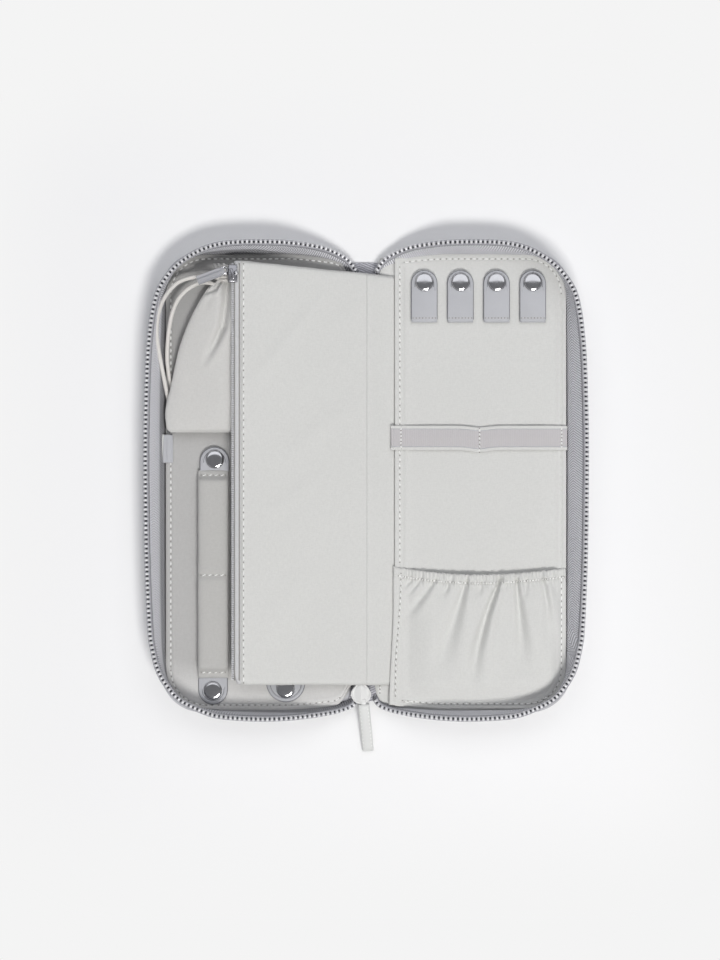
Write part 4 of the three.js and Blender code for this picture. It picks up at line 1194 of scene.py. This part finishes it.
def add_page_cloth():
    """The margin and the front cloth, which the margin's end lies under, and the back cloth."""
    def front(distance, v):
        y = lerp(page_bottom_y(distance), page_top_y(distance), v)
        ragged = noise.noise(Vector((distance / 13, 3.0 if v > 0.5 else 9.0, 0)))
        y += 0.25 * ragged * (abs(v - 0.5) * 2) ** 8
        x, y, z = front_point(distance, y)
        edge = min(v, 1 - v) * 205
        z -= 0.9 * smooth(59.5, CLOTH_REACH, distance) ** 2 + 0.5 * (1 - smooth(0, 1.8, edge))
        return (x, y, z)

    def margin(distance, v):
        x, y, z = front(distance, v)
        return (x, y, z - 0.3 * smooth(-1.5, -0.5, distance))

    def back(distance, v):
        y = lerp(page_bottom_y(distance) + 0.4, page_top_y(distance) - 0.4, v)
        wave = 0.5 * noise.noise(Vector((distance / 20, y / 60, 12.0))) * smooth(0, 9, distance)
        return page_point(distance, y, -page_half_thick(distance) - wave * smooth(62, 55, distance))

    rows = np.linspace(0, 1, 121)
    grid = grid_of(rows, np.linspace(-MARGIN_REACH, -0.5, 22), margin)
    made = sheet_object("page_margin_cloth", grid, CLOTH_THICK, "lining", 0)
    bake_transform(made)
    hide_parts("page_hem")
    grid = grid_of(rows, np.linspace(-1.5, CLOTH_REACH, 61), front)
    made = sheet_object("page_front_cloth", grid, CLOTH_THICK, "lining", 0)
    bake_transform(made)
    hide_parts("page_front_panel", "page_piping")
    grid = grid_of(np.linspace(0, 1, 41), np.linspace(0, CLOTH_REACH, 31), back)
    made = sheet_object("page_back_cloth", grid, -CLOTH_THICK, "lining", 0)
    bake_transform(made)
    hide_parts("page_back_panel")


def add_page_seams():
    normal = (math.sin(PAGE_TILT), 0, math.cos(PAGE_TILT))
    path = [front_point(60.4, y) for y in np.linspace(page_bottom_y(60) + 1, page_top_y(60) - 1.5, 90)]
    sew("page_stitches", path, on("page"), normal, pitch=3.5, length=2.1)


def add_page_edges():
    """The top and bottom edges of the page, where front and back cloth are turned in and sewn."""
    for name, edge_y, end in (("top", page_top_y, 1), ("bottom", page_bottom_y, -1)):
        rings = []
        for distance in np.linspace(0, 61.9, 62):
            y = edge_y(distance) - end * 0.55
            x, _, z = page_point(distance, y, 0)
            ring = []
            for angle in np.linspace(-math.pi / 2, math.pi / 2, 10):
                rise = page_half_thick(distance) * 0.9 * math.sin(angle)
                rise += (page_waves(distance, y) - 0.3) * max(math.sin(angle), 0)
                reach = end * (math.cos(angle) * 0.7 - 0.15)
                ring.append((x + math.sin(PAGE_TILT) * rise, y + reach, z + math.cos(PAGE_TILT) * rise))
            rings.append(ring)
        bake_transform(loft_object(f"page_edge_{name}", rings, "lining"))


COIL_DISTANCE = 65.1        # from the page's hinge to the middle of its zip coil
COIL_PITCH = 1.06
# Radius and height of the slider's round stop
STOP_PROFILE = [(0, 0), (1.1, 0), (1.25, 0.35), (1.0, 0.8), (0.5, 1.05), (0, 1.1)]
# The coil's wire on its way across the zip: place and radius
COIL_SECTIONS = [(-1.0, 0.2), (-0.8, 0.40), (0.8, 0.40), (1.0, 0.2)]


def add_page_zip():
    """A fine coil between two tapes along the page's free edge."""
    top = page_top_y(65) - 1.6
    bottom = page_bottom_y(65) + 1.2
    points, faces = [], []
    for level, delay in ((-0.5, 0), (0.5, 0.5)):
        for i in range(int((top - bottom) / COIL_PITCH)):
            y = top - (i + delay) * COIL_PITCH
            add_skin(points, faces, [
                [page_point(COIL_DISTANCE + share + 0.4 * level, y + radius * math.cos(angle),
                            level + radius * math.sin(angle)) for angle in angles(6)]
                for share, radius in COIL_SECTIONS])
    carried(new_object("page_zip_coil", points, faces, "coil"), "page", "page_zip_chain")

    rows = np.linspace(bottom - 0.8, top + 1.2, 70)
    shares = np.linspace(0, 1, 6)
    for face, name in ((1, "front"), (-1, "back")):
        def tape_distance(share, y):
            return lerp(61.4, 64.7 - 1.4 * smooth(bottom + 3.5, bottom - 1, y), share)

        def tape_point(share, y):
            return page_point(tape_distance(share, y), y, face * (1.3 + 0.35 * math.sin(math.pi * share)))

        grid = grid_of(rows, shares, tape_point)
        uvs = [(y, tape_distance(share, y)) for y in rows for share in shares]
        carried(sheet_object(f"page_zip_tape_{name}", grid, face * 0.5, "page_tape", 0, uvs), "page")
    # thin dark lines of painted shade along the cloth's fold and beside the coil
    for distance, height, name in ((62.45, 1.75, "fold"), (64.75, 1.1, "coil")):
        path = [page_point(distance, y, height) for y in np.linspace(bottom + 1, top, 60)]
        carried(tube_object(f"page_zip_line_{name}", path, 0.26, "painted_shade", 6), "page")


def add_page_slider():
    """Nickel slider on the page's zip, with its crown and a round stop."""
    y = page_top_y(PAGE_REACH) - 6.6
    centre = COIL_DISTANCE + 0.5
    # Each block's size, its distance, y and height on the page, its bevel and its turn
    blocks = {
        "plate": ((4.4, 8.6, 1.1), (centre, y, 1.9), 0.5, 0),
        "under": ((4.4, 8.6, 1.0), (centre, y, -1.9), 0.45, 0),
        "post": ((1.5, 2.6, 3.6), (centre + 1, y + 1.8, 0), 0.35, 0),
        "crown": ((1.5, 5.4, 1.1), (centre + 0.4, y - 0.2, 3.0), 0.5, 0.3),
    }
    body = [box_object(f"slider_{name}", size, page_point(*place), "slider_metal", edge, turn, PAGE_TILT)
            for name, (size, place, edge, turn) in blocks.items()]
    stop = turned_object("slider_stop", STOP_PROFILE, page_point(centre - 1.6, y + 0.2, 2.2), "metal", 32)
    carried(joined(body + [stop], "page_slider_body"), "page_slider", "page_zip_slider")


def add_page_puller():
    """A ribbed leather strip, folded over a ring at the slider."""
    skew = math.radians(21)
    pivot = np.array((-69.2, 104.7, 16.6))
    ahead = np.array((-math.cos(skew), -math.sin(skew), 0))
    aside = np.array((math.sin(skew), -math.cos(skew), 0))

    def strip(u, v):
        wide = 2.1 * (0.8 + 0.2 * smooth(1.5, 5.0, u)) * (1 - 0.12 * smooth(13.6, 15, u) * abs(v))
        ridge = 0.3 * math.cos(v * math.pi * 2.0) * smooth(1.4, 3.4, u)
        x, y, z = pivot + ahead * u + aside * v * wide
        return (x, y, z + 0.85 + ridge - 0.35 * v * v)

    top = grid_of(np.linspace(-1, 1, 13), np.linspace(0.6, 15, 30), strip)
    carried(sheet_object("page_puller_leather", top, 1.5, "pull_leather"), "page_puller", "page_puller")
    ring = [pivot + ahead * (1.1 + 1.9 * math.cos(angle)) + aside * 1.7 * math.sin(angle)
            + np.array((0, 0, 0.1 * math.cos(angle))) for angle in np.linspace(0, 2 * math.pi, 25)]
    carried(tube_object("page_puller_ring", ring, 0.5, "metal"), "page_puller")


add_page_cloth()
add_page_seams()
add_page_edges()
add_page_zip()
add_page_slider()
add_page_puller()


# Snaps, leather tabs and straps

# Radius and height of turned pieces, from the axis to the axis
SNAP_PROFILE = [(0, 0), (3.9, 0), (4.4, 0.12), (4.6, 0.45), (4.55, 0.8), (4.38, 1.0), (4.24, 1.04)] + [
    (4.18 * math.sin(math.radians(a)) ** 0.8, 1.06 + 0.84 * math.cos(math.radians(a)) ** 0.55)
    for a in (90, 89, 87, 84, 80, 75, 70, 64, 58, 52, 45, 38, 30, 22, 14, 7)
] + [(0, 1.9)]
STUD_PROFILE = [(0, 0), (2.6, 0), (2.7, 0.15), (2.3, 0.35), (1.5, 0.4), (1.35, 0.8), (1.65, 1.15), (1.6, 1.5),
                (1.2, 1.7), (0, 1.75)]
LEATHER_THICK = 1.05
SNAP_Z = 5.9                # height of a snap on a tab that lies on another tab


def tab_outline(x, straight_y, length, width, way=1, inset=0.0, round_steps=14):
    """Closed outline of a tab whose far end is round. way is 1 for a round top, -1 for a round bottom."""
    half = width / 2 - inset
    middle = straight_y + way * (length - width / 2)
    outline = [(x - way * half, straight_y), (x + way * half, straight_y)]
    for angle in np.linspace(0, math.pi, round_steps + 1):
        outline.append((x + way * half * math.cos(angle), middle + way * half * math.sin(angle)))
    return outline


# The lines round a leather tab: inset, radius, material, depth in the leather, and share of the sides that
# they cover. The dark edge is edge paint and painted shadow, the groove a dark line of painted shade
TAB_LINES = {
    "edge": (0.14, 0.36, "edge_paint_and_shade", 0.46, 1.0),
    "rim": (1.05, 0.40, "tab_leather", 0.16, 0.2),
    "groove": (1.70, 0.20, "edge_paint_and_shade", 0.12, 0.1),
}


def add_leather_tab(name, x, straight_y, length, width, z, thick, way, body, node):
    """A round-ended tab with its dark edge of edge paint and painted shadow, its raised rim, and a dark line
    of painted shade in the groove inside it.
    """
    outline = tab_outline(x, straight_y, length, width, way)
    carried(outline_object(name, outline, z, thick, "tab_leather", 0.35, 3), body, node)
    for part, (inset, radius, material, depth, sides) in TAB_LINES.items():
        path = [(px, py, z + thick - depth)
                for px, py in tab_outline(x, straight_y, length, width, way, inset, 22)[2:]]
        low = lerp(path[0][1], straight_y + way * 0.6, sides)
        path = [(path[0][0], low, path[0][2])] + path + [(path[-1][0], low, path[0][2])]
        carried(tube_object(f"{name}_{part}", resampled(path, 0.8), radius, material, 8), body)


def add_snap(name, x, y, z, body, node):
    carried(turned_object(name, SNAP_PROFILE, (x, y, z), "metal"), body, node)


TAB_X = 29                  # the first necklace tab
TAB_SPACING = 18
TAB_WIDTH = 12.7
TAB_SNAP_Y = 99.5


def add_necklace_tabs():
    for number in range(1, 5):
        x = TAB_X + TAB_SPACING * (number - 1)
        body = f"tab_{number}"
        add_leather_tab(f"tab_front_{number}", x, 80.3, 24.9, TAB_WIDTH, 4.9, LEATHER_THICK, 1, body,
                        f"necklace_tab_{number}")
        back = outline_object(f"tab_rear_{number}", tab_outline(x, 81.2, 24.0, TAB_WIDTH), 3.6, 1.0,
                              "tab_leather", 0.2)
        carried(back, "right_leaf", f"tab_back_{number}")
        turns = np.linspace(0, math.pi, 11)
        across = x + np.linspace(-TAB_WIDTH / 2, TAB_WIDTH / 2, 9)
        lip = grid_of(turns, across, lambda u, turn: (
            u, 80.6 - 1.15 * math.sin(turn), 4.75 + 1.17 * math.cos(turn)))
        carried(sheet_object(f"tab_fold_{number}", lip, 0.95, "tab_leather", 0), body)
        sew(f"tab_stitches_{number}", [(x - 5.6, 81.6, 5.95), (x + 5.6, 81.6, 5.95)], on(body), pitch=1.6,
            length=1.1, radius=0.27, material="elastic")
        add_snap(f"snap_{number}", x, TAB_SNAP_Y, SNAP_Z, body, f"necklace_cap_{number}")
        stud = turned_object(f"stud_{number}", STUD_PROFILE, (x, TAB_SNAP_Y, 4.55), "metal", 28)
        carried(stud, "right_leaf", f"tab_stud_{number}")


STRAP_Y = 22
STRAP_HALF = 5.85           # half of its width
STRAP_MIDDLE = 56.5         # x of the seam that holds it down


def strap_y(x, edge):
    dip = -1.1 * bell(x, STRAP_MIDDLE, 5.5)
    return STRAP_Y + edge * STRAP_HALF + dip * (0.8 if edge > 0 else 1.0)


def strap_z(x, edge):
    loose = 0.5 * smooth(16, 30, x) * smooth(99, 88, x) * (1 - 0.9 * bell(x, STRAP_MIDDLE, 2.4))
    return 4.75 + over_page(x) + loose * (1 - 0.4 * abs(edge)) - 0.8 * smooth(99.6, 101.6, x)


def add_elastic():
    columns = fold_columns(12.4, 100.35, 2.0)

    def strip(name, low, high, rows, lift, thick, material, bevel):
        edges = np.linspace(low, high, rows)
        grid = grid_of(edges, columns, lambda x, edge: (x, strap_y(x, edge), strap_z(x, edge) + lift))
        made = sheet_object(name, grid, thick, material, bevel)
        bend_at_fold(made)
        return made

    made = strip("elastic_band", -1, 1, 15, 0, 1.0, "elastic", 0.3)
    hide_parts("elastic_strap")
    for side, name in ((1, "upper"), (-1, "lower")):
        strip(f"elastic_border_{name}", 0.78 * side, 1.03 * side, 5, 0.22, 0.5, "lining", 0.15)
        strip(f"elastic_line_{name}", 0.72 * side, 0.78 * side, 3, 0.1, 0.3, "tab_leather", 0.1)
    line = [(STRAP_MIDDLE, y, strap_z(STRAP_MIDDLE, 0) + 0.2) for y in (26.7, 14.8)]
    sew("elastic_stitches_middle", line, on("right_leaf"), pitch=1.9, length=1.5, radius=0.4, slant=0.35)
    for x, name in ((17.4, "spine"), (97.4, "side")):
        line = [(x, 27.4, strap_z(x, 1) + 0.1), (x, 16.6, strap_z(x, -1) + 0.1)]
        sew(f"elastic_stitches_{name}", line, over_fold(), pitch=1.9, length=1.5)


add_necklace_tabs()
add_elastic()


# Ring bar and earring bar

def padded_bar(name, x, width, height, top_y, bottom_y, pinches, material="lining"):
    """A stuffed fabric roll, sewn down across at the pinches: their y, depth and reach."""
    rings = []
    for y in np.linspace(top_y, bottom_y, 170):
        full = 1.0
        for at, depth, reach in pinches:
            full *= 1 - depth * bell(y, at, reach)
        end = min(top_y - y, y - bottom_y)
        tall = height * full * (0.22 + 0.78 * math.sqrt(smooth(-0.5, 6.5, end)))
        wide = width * (1 - 0.02 * (1 - full)) * (1 + 0.010 * noise.noise(Vector((y / 9, x, 0))))
        shift = 0.2 * noise.noise(Vector((y / 22, x, 5)))
        ring = []
        for angle in angles(32):
            across, up = rounded_square(angle, 0.62, 0.62)
            dent = 0.14 * noise.noise(Vector((across * wide / 8, y / 7, x))) if math.sin(angle) > 0.1 else 0.0
            ring.append((x + shift + across * wide / 2, y, BAR_Z + tall / 2 + up * tall / 2 + dent))
        rings.append(ring)
    return loft_object(name, rings, material)


BAR_Z = 3.95                # where both bars lie on the lining
RING_BAR_X = -75.9
RING_TOP = (-75.2, 11.3)    # x and y of its upper snap
RING_BOTTOM = (-76.2, -103.9)
EARRING_X = -40
LOW_TAB_Z = 3.75
LOW_TAB_THICK = 1.15


def add_ring_bar():
    bar = padded_bar("ring_bar_roll", RING_BAR_X, 15.3, 6.3, 6.0, -97.4,
                     [(3.4, 0.30, 1.6), (-46.2, 0.16, 1.5), (-94.8, 0.35, 1.6)], "bar_cloth")
    carried(bar, "ring_bar", "ring_bar_pad")
    for name, y, z in (("top", 3.4, 7.35), ("bottom", -94.6, 7.1), ("middle", -46.2, 9.3)):
        sew(f"ring_bar_stitches_{name}", [(RING_BAR_X - 6, y, z), (RING_BAR_X + 6, y, z)], on("ring_bar"),
            pitch=3.0, length=2.0, radius=0.27, slant=0.5)
    add_leather_tab("ring_strap_top", -75.4, 5.2, 12.0, 14.2, 4.9, LEATHER_THICK, 1, "ring_bar",
                    "ring_tab_top")
    add_leather_tab("ring_strap_bottom", RING_BOTTOM[0], -97.2, 13.4, 14.2, LOW_TAB_Z, LOW_TAB_THICK, -1,
                    "left_leaf", "ring_tab_bottom")
    add_snap("ring_snap_top", *RING_TOP, SNAP_Z, "ring_bar", "ring_cap_top")
    stud = turned_object("ring_snap_stud", [(0, 0), (4.3, 0), (4.4, 0.5), (3.9, 0.9)] + STUD_PROFILE[3:],
                         (*RING_TOP, LOW_TAB_Z), "metal", 28)
    carried(stud, "left_leaf", "ring_stud_top")
    add_snap("ring_snap_bottom", *RING_BOTTOM, LOW_TAB_Z + LOW_TAB_THICK, "left_leaf", "ring_cap_bottom")


def add_earring_bar():
    bar = padded_bar("earring_roll", EARRING_X, 17, 3.0, -12, -96.8, [(-15, 0.3, 2.0), (-93.8, 0.3, 2.0)])
    carried(bar, "left_leaf", "earring_strap")
    shape = (EARRING_X, -96.4, 13.0, 19)
    add_leather_tab("earring_tab", *shape, LOW_TAB_Z, LOW_TAB_THICK, -1, "left_leaf", "earring_tab_bottom")
    path = [(px, py, 4.92) for px, py in tab_outline(*shape, -1, 2.9, 16)[2:]]
    sew("earring_tab_stitches", path, on("left_leaf"), pitch=2.0, holes=False, length=1.3, radius=0.22,
        material="tab_leather")
    add_snap("earring_snap", EARRING_X, -103, LOW_TAB_Z + LOW_TAB_THICK, "left_leaf", "earring_cap_bottom")


add_ring_bar()
add_earring_bar()


# Gathered pocket

POCKET_LEFT = 13.5
POCKET_BOTTOM = 113.0       # how far below the middle the pocket ends
POCKET_SLOPE = 4.4
POCKET_PUFF = 4.4           # how far the cloth stands off the panel
HEM_DEPTH = 4.3             # from the pocket's top edge to the hem's seam
# Pleats that run down from the hem: points of the valley, its depth, and its width at both ends
PLEATS = [
    (((22.3, -49.0), (17.8, -54.1)), 0.5, 0.7, 0.9),
    (((26.8, -49.0), (19.8, -57.6)), 0.5, 0.7, 1.0),
    (((34.7, -48.5), (27.0, -58.5), (18.0, -70.5)), 0.95, 0.9, 2.4),
    (((42.2, -48.5), (37.8, -58.5)), 0.8, 0.9, 1.6),
    (((50.1, -48.5), (41.7, -75.9), (33.7, -103.0)), 1.9, 1.0, 6.5),
    (((58.5, -49.0), (55.0, -58.5)), 0.7, 0.9, 1.6),
    (((66.7, -48.0), (60.0, -65.5), (55.6, -81.4), (51.0, -109.0)), 2.3, 1.0, 3.4),
    (((69.9, -49.0), (67.6, -56.0)), 0.6, 0.8, 1.2),
    (((74.7, -48.5), (76.4, -65.5), (79.0, -100.0)), 1.9, 0.9, 4.6),
    (((79.4, -48.5), (78.7, -60.0)), 0.9, 0.9, 1.6),
    (((88.1, -48.5), (90.3, -62.0), (92.0, -88.0)), 1.2, 0.9, 3.4),
]
PLEAT_SCALE = 1.45


def pocket_top_y(x):
    share = (x - POCKET_LEFT) / (PANEL_EDGE - POCKET_LEFT)
    return -41.9 - 3.6 * math.sin(math.pi * min(max(share, 0), 1) ** 0.9) - 1.0 * share


def pocket_bottom_y(x):
    return -leaf_half_y(x, POCKET_SLOPE, POCKET_BOTTOM, PANEL_EDGE, PANEL_CORNER)


def pocket_z(x, y, bottom):
    from_bottom = smooth(0.5, 15, y - bottom)
    from_sides = smooth(14, 34, x) * smooth(0.4, 9, PANEL_EDGE - x)
    from_hem = lerp(0.66, 1.0, smooth(0, 17, pocket_top_y(x) - y))
    waves = 0.5 * noise.noise(Vector((x / 15, y / 30, 3.0)))
    lift = (POCKET_PUFF * from_hem + waves) * from_sides * from_bottom
    pleats = PLEAT_SCALE * sum(crease(x, y, *pleat) for pleat in PLEATS)
    pleats *= smooth(0, 4, x - 14.5) * smooth(0, 9, y - bottom)
    inside = min(edge_distance(x, y, lining_half_y), x - POCKET_LEFT)
    return 3.95 + over_page(x) + lift + pleats + seam_relief(inside)


def hem_ruffle(x):
    return 0.62 * math.sin(x * 3.05 + 1.7 * math.sin(x * 0.53)) + 0.28 * math.sin(x * 1.27 + 2.0)


def pocket_point(x, v):
    top, bottom = pocket_top_y(x), pocket_bottom_y(x)
    y = lerp(bottom, top, v)
    down = top - y
    inner = smooth(POCKET_LEFT + 1, POCKET_LEFT + 8, x) * smooth(0, 3, PANEL_EDGE - x)
    z = pocket_z(x, y, bottom) + hem_ruffle(x) * (1 - smooth(4.0, 9.0, down)) * (0.3 + 0.7 * inner)
    z += 0.35 * (1 - smooth(3.2, 4.4, down)) - 0.45 * bell(down, 4.4, 0.45) - 0.4 * (1 - smooth(0, 0.8, down))
    slant = 2.0 * smooth(0.55, 1, -y / 112) * (1 - smooth(POCKET_LEFT, 24, x))
    return (x - slant, y + 0.3 * hem_ruffle(x + 0.8) * (1 - smooth(0, 2.5, down)), z)


def add_gathered_pocket():
    columns = list(np.arange(POCKET_LEFT, PANEL_EDGE - 0.3, 0.5)) + [PANEL_EDGE]
    # Rows lie closer together at the bottom edge and at the hem
    parts = ((0, 0.10, 16), (0.115, 0.86, 70), (0.87, 1.0, 24))
    rows = np.concatenate([np.linspace(*part) for part in parts])
    made = sheet_object("pocket_cloth", grid_of(rows, columns, pocket_point), CLOTH_THICK, "lining", 0)
    bend_at_fold(made)
    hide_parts("gathered_pocket")

    middle = [(x, pocket_top_y(x) - HEM_DEPTH) for x in np.arange(POCKET_LEFT + 2.6, PANEL_EDGE - 1, 0.7)]
    path = [(x, y, pocket_z(x, y, -112) + hem_ruffle(x) + 0.1) for x, y in middle]
    sew("pocket_hem_stitches", path, over_fold(), pitch=2.0, length=1.4, radius=0.5)
    side = [(lerp(17.4, 14.6, smooth(-45, -100, y)), y) for y in np.linspace(-45.5, -106.5, 50)]
    path = [(x, y, pocket_z(x, y, -112) + 0.42) for x, y in side]
    sew("pocket_stitches_spine", path, over_fold(), slant=0.3)
    edge = [(x, pocket_bottom_y(x) + SEAM_INSET) for x in np.linspace(18, 80, 30)]
    edge += [(x, -y) for x, y in corner_seam(POCKET_BOTTOM)]
    edge += [(PANEL_EDGE - SEAM_INSET, y) for y in np.linspace(-90, -47, 18)]
    path = [(x, y, pocket_z(x, y, pocket_bottom_y(x)) + 0.2) for x, y in edge]
    sew("pocket_stitches_edge", path, over_fold())


add_gathered_pocket()


# Drawstring pouch and the inner zip

POUCH_X = -67
POUCH_Z = 8.2
# y, half width and share of the full thickness
POUCH_OUTLINE = [
    (24.6, 30.0, 0.35), (27, 32.0, 0.75), (36, 32.6, 1), (48.5, 29.8, 1), (66, 26, 1), (78.5, 21.5, 0.95),
    (88.5, 16.5, 0.88), (96, 11.5, 0.75), (100.4, 6.6, 0.55), (104, 6.2, 0.5), (108, 8.0, 0.55),
]
# Folds of the pouch's front: points of the valley, its depth, and its width at both ends
POUCH_FOLDS = [
    (((-69.0, 99.0), (-69.3, 89.0), (-71.0, 77.0), (-75.0, 68.3), (-83.0, 54.0)), 4.2, 1.9, 1.7),
    (((-72.0, 99.5), (-74.5, 95.6), (-80.0, 93.6), (-83.0, 92.5)), 1.5, 0.9, 0.9),
    (((-74.0, 98.0), (-79.0, 88.0), (-83.0, 80.0)), 0.45, 1.2, 2.6),
    (((-64.0, 98.0), (-60.0, 84.0), (-57.0, 70.0)), 0.8, 1.0, 2.2),
]


def pouch_point(angle, y, half, share):
    up = math.sin(angle)
    across, rise = rounded_square(angle, 0.85, 0.75)
    across *= half
    rise *= share * (4.6 if up > 0 else 4.0)
    ruffle = 0.9 * math.sin(angle * 11 + 2.0 * math.sin(angle * 3)) * smooth(101, 107, y)
    gather = 0.35 * math.sin(angle * 17 + 1.3 * math.sin(angle * 5)) * smooth(90, 100, y)
    wave = 0.7 * noise.noise(Vector((across / 13, y / 24, 21.0 if rise > 0 else 19.0)))
    wave *= smooth(24, 34, y) * smooth(101, 80, y)
    fold = 0.0
    if up > 0:
        fold = sum(crease(POUCH_X + across, y, *one) for one in POUCH_FOLDS) * smooth(0, 0.45, up)
    z = POUCH_Z + rise + up * (0.8 * (ruffle + gather) + wave) + fold - 0.06 * max(across, 0)
    x = POUCH_X + across + math.cos(angle) * (ruffle + gather)
    return (x, y + 0.5 * ruffle * smooth(104, 108, y), max(z, 3.95))


def add_pouch():
    # The shares are spread as wide as the lengths, so that the steps along the outline come out even
    spread = 10
    outline = smooth_path([(y, half, share * spread) for y, half, share in POUCH_OUTLINE], 0.6)
    rings = [[pouch_point(angle, y, half, share / spread) for angle in angles(160)]
             for y, half, share in outline]
    carried(loft_object("pouch_cloth", rings, "pouch_cloth"), "left_leaf", "pouch_body")
    wraps = []
    for number, y in ((0, 100.4), (1, 101.9)):
        path = [(POUCH_X + 6.3 * math.cos(turn), y + 0.3 * math.sin(turn * 2), POUCH_Z + 2.9 * math.sin(turn))
                for turn in np.linspace(0, 2 * math.pi, 33)]
        wraps.append(tube_object(f"pouch_neck_cord_{number}", path, 0.8, "cord"))
    carried(joined(wraps, "pouch_neck_cord"), "left_leaf")


INNER_ZIP_Y = 26.6


def add_inner_zip():
    points, faces = [], []
    for x in -93.5 + 1.15 * np.arange(48):
        add_skin(points, faces, [
            [(x + radius * math.cos(angle), INNER_ZIP_Y + share, 4.25 + radius * math.sin(angle))
             for angle in angles(6)]
            for share, radius in ((-1.2, 0.3), (-1.0, 0.45), (1.0, 0.45), (1.2, 0.3))])
    carried(new_object("inner_zip_coil", points, faces, "teeth"), "left_leaf", "inner_zip_chain")
    slider = joined([
        box_object("inner_slider_plate", (5.0, 4.3, 1.0), (-96.8, INNER_ZIP_Y, 4.5), "metal", 0.4),
        box_object("inner_slider_crown", (3.0, 1.3, 0.9), (-96.9, INNER_ZIP_Y, 5.3), "metal", 0.35),
    ], "inner_slider")
    carried(slider, "left_leaf", "inner_zip_slider")
    grid = grid_of(np.linspace(0, 1, 22), np.linspace(-1, 1, 9), lambda u, v: (
        -98.6 + 2.5 * u, 23.6 - 14 * v,
        5.55 + 0.22 * math.cos(u * math.pi * 2.2) * smooth(0.1, 0.2, v) - 0.25 * u * u))
    puller = sheet_object("inner_puller_leather", grid, 1.3, "tab_leather")
    carried(puller, "inner_puller", "inner_zip_puller")
    # a lighter leather tube along the puller's side: a painted highlight on its edge
    edge = [(-101.0 - 0.9 * v, 23.8 - 13.4 * v, 5.9) for v in np.linspace(0, 1, 14)]
    carried(tube_object("inner_puller_edge_highlight", edge, 0.5, "puller_leather"), "inner_puller")


add_pouch()
add_inner_zip()


# Main slider and its puller

SLIDER_CENTRE = (-2.5, -105.3)
SLIDER_RADIUS = 5.15
SLIDER_TOP = 8.1
# How far in and how high each ring of the slider lies. Past the first millimetre its two slopes set the
# height
SLIDER_STEPS = [(0.5, 4.4), (0.0, 4.9), (0.0, 6.5), (0.12, 6.9), (0.4, 7.15), (0.75, 7.1), (0.95, 6.9)] + [
    (inset, None) for inset in (1.15, 2.2, 3.4, 4.4, 4.9)]


def add_main_slider():
    """An off-white painted slider: a round plate whose two halves slope away from a ridge."""
    rings = []
    for inset, z in SLIDER_STEPS:
        ring = []
        for angle in angles(56):
            x = math.cos(angle) * (SLIDER_RADIUS - inset)
            y = math.sin(angle) * (SLIDER_RADIUS - inset) * (1.15 if math.sin(angle) > 0 else 1.0)
            x *= 1 - 0.32 * smooth(0, 5.5, y)
            slope = SLIDER_TOP - 1.5 * min(abs(x) / 4.1, 1) - 0.25 * max(-y, 0) / 5
            ring.append((SLIDER_CENTRE[0] + x, SLIDER_CENTRE[1] + y, slope if z is None else z))
        rings.append(ring)
    carried(loft_object("main_slider_body", rings, "slider_paint"), "spine", "main_slider")


PULLER_LENGTH = 24.4


def add_main_puller():
    """A folded strip whose two faces meet in a soft ridge."""
    skew = math.radians(5.5)
    drop = math.radians(14)
    start = np.array((-1.2, -110.4, 7.3))
    ahead = np.array((math.sin(skew) * math.cos(drop), -math.cos(skew) * math.cos(drop), -math.sin(drop)))
    aside = np.array((math.cos(skew), math.sin(skew), 0))
    above = np.cross(aside, ahead)
    above *= math.copysign(1, above[2]) / np.linalg.norm(above)
    rings = []
    for u in [0.0, 0.3, 0.8] + list(np.linspace(2, 22.8, 22)) + [23.7, 24.2, PULLER_LENGTH]:
        full = 0.72 + 0.28 * smooth(-0.2, 0.9, min(u, PULLER_LENGTH - u))
        ring = []
        for angle in angles(24):
            across, up = rounded_square(angle, 0.35, 0.45)
            across *= 2.8 * (0.94 + 0.06 * full)
            ridge = 0.18 * bell(across, -1.2, 0.8) if math.sin(angle) > 0 else 0
            ring.append(start + ahead * u + aside * across + above * (up * 1.3 * full + ridge))
        rings.append(ring)
    carried(loft_object("main_puller_leather", rings, "puller_leather"), "main_puller", "main_puller_strip")
    for shift, name in ((-1.95, "left"), (1.95, "right")):
        path = [start + ahead * u + aside * shift + above * 1.3 for u in np.linspace(1.5, 22.8, 18)]
        sew(f"main_puller_stitches_{name}", path, on("main_puller"), above, pitch=1.9, holes=False,
            length=1.2, radius=0.17)
    place = start - ahead * 0.9 - above * 0.4
    carried(box_object("main_puller_lug", (2.6, 3.0, 1.5), place, "slider_paint", 0.4, skew), "main_puller")


add_main_slider()
add_main_puller()

bpy.context.view_layer.update()

bpy.context.scene.view_settings.view_transform = "Standard"
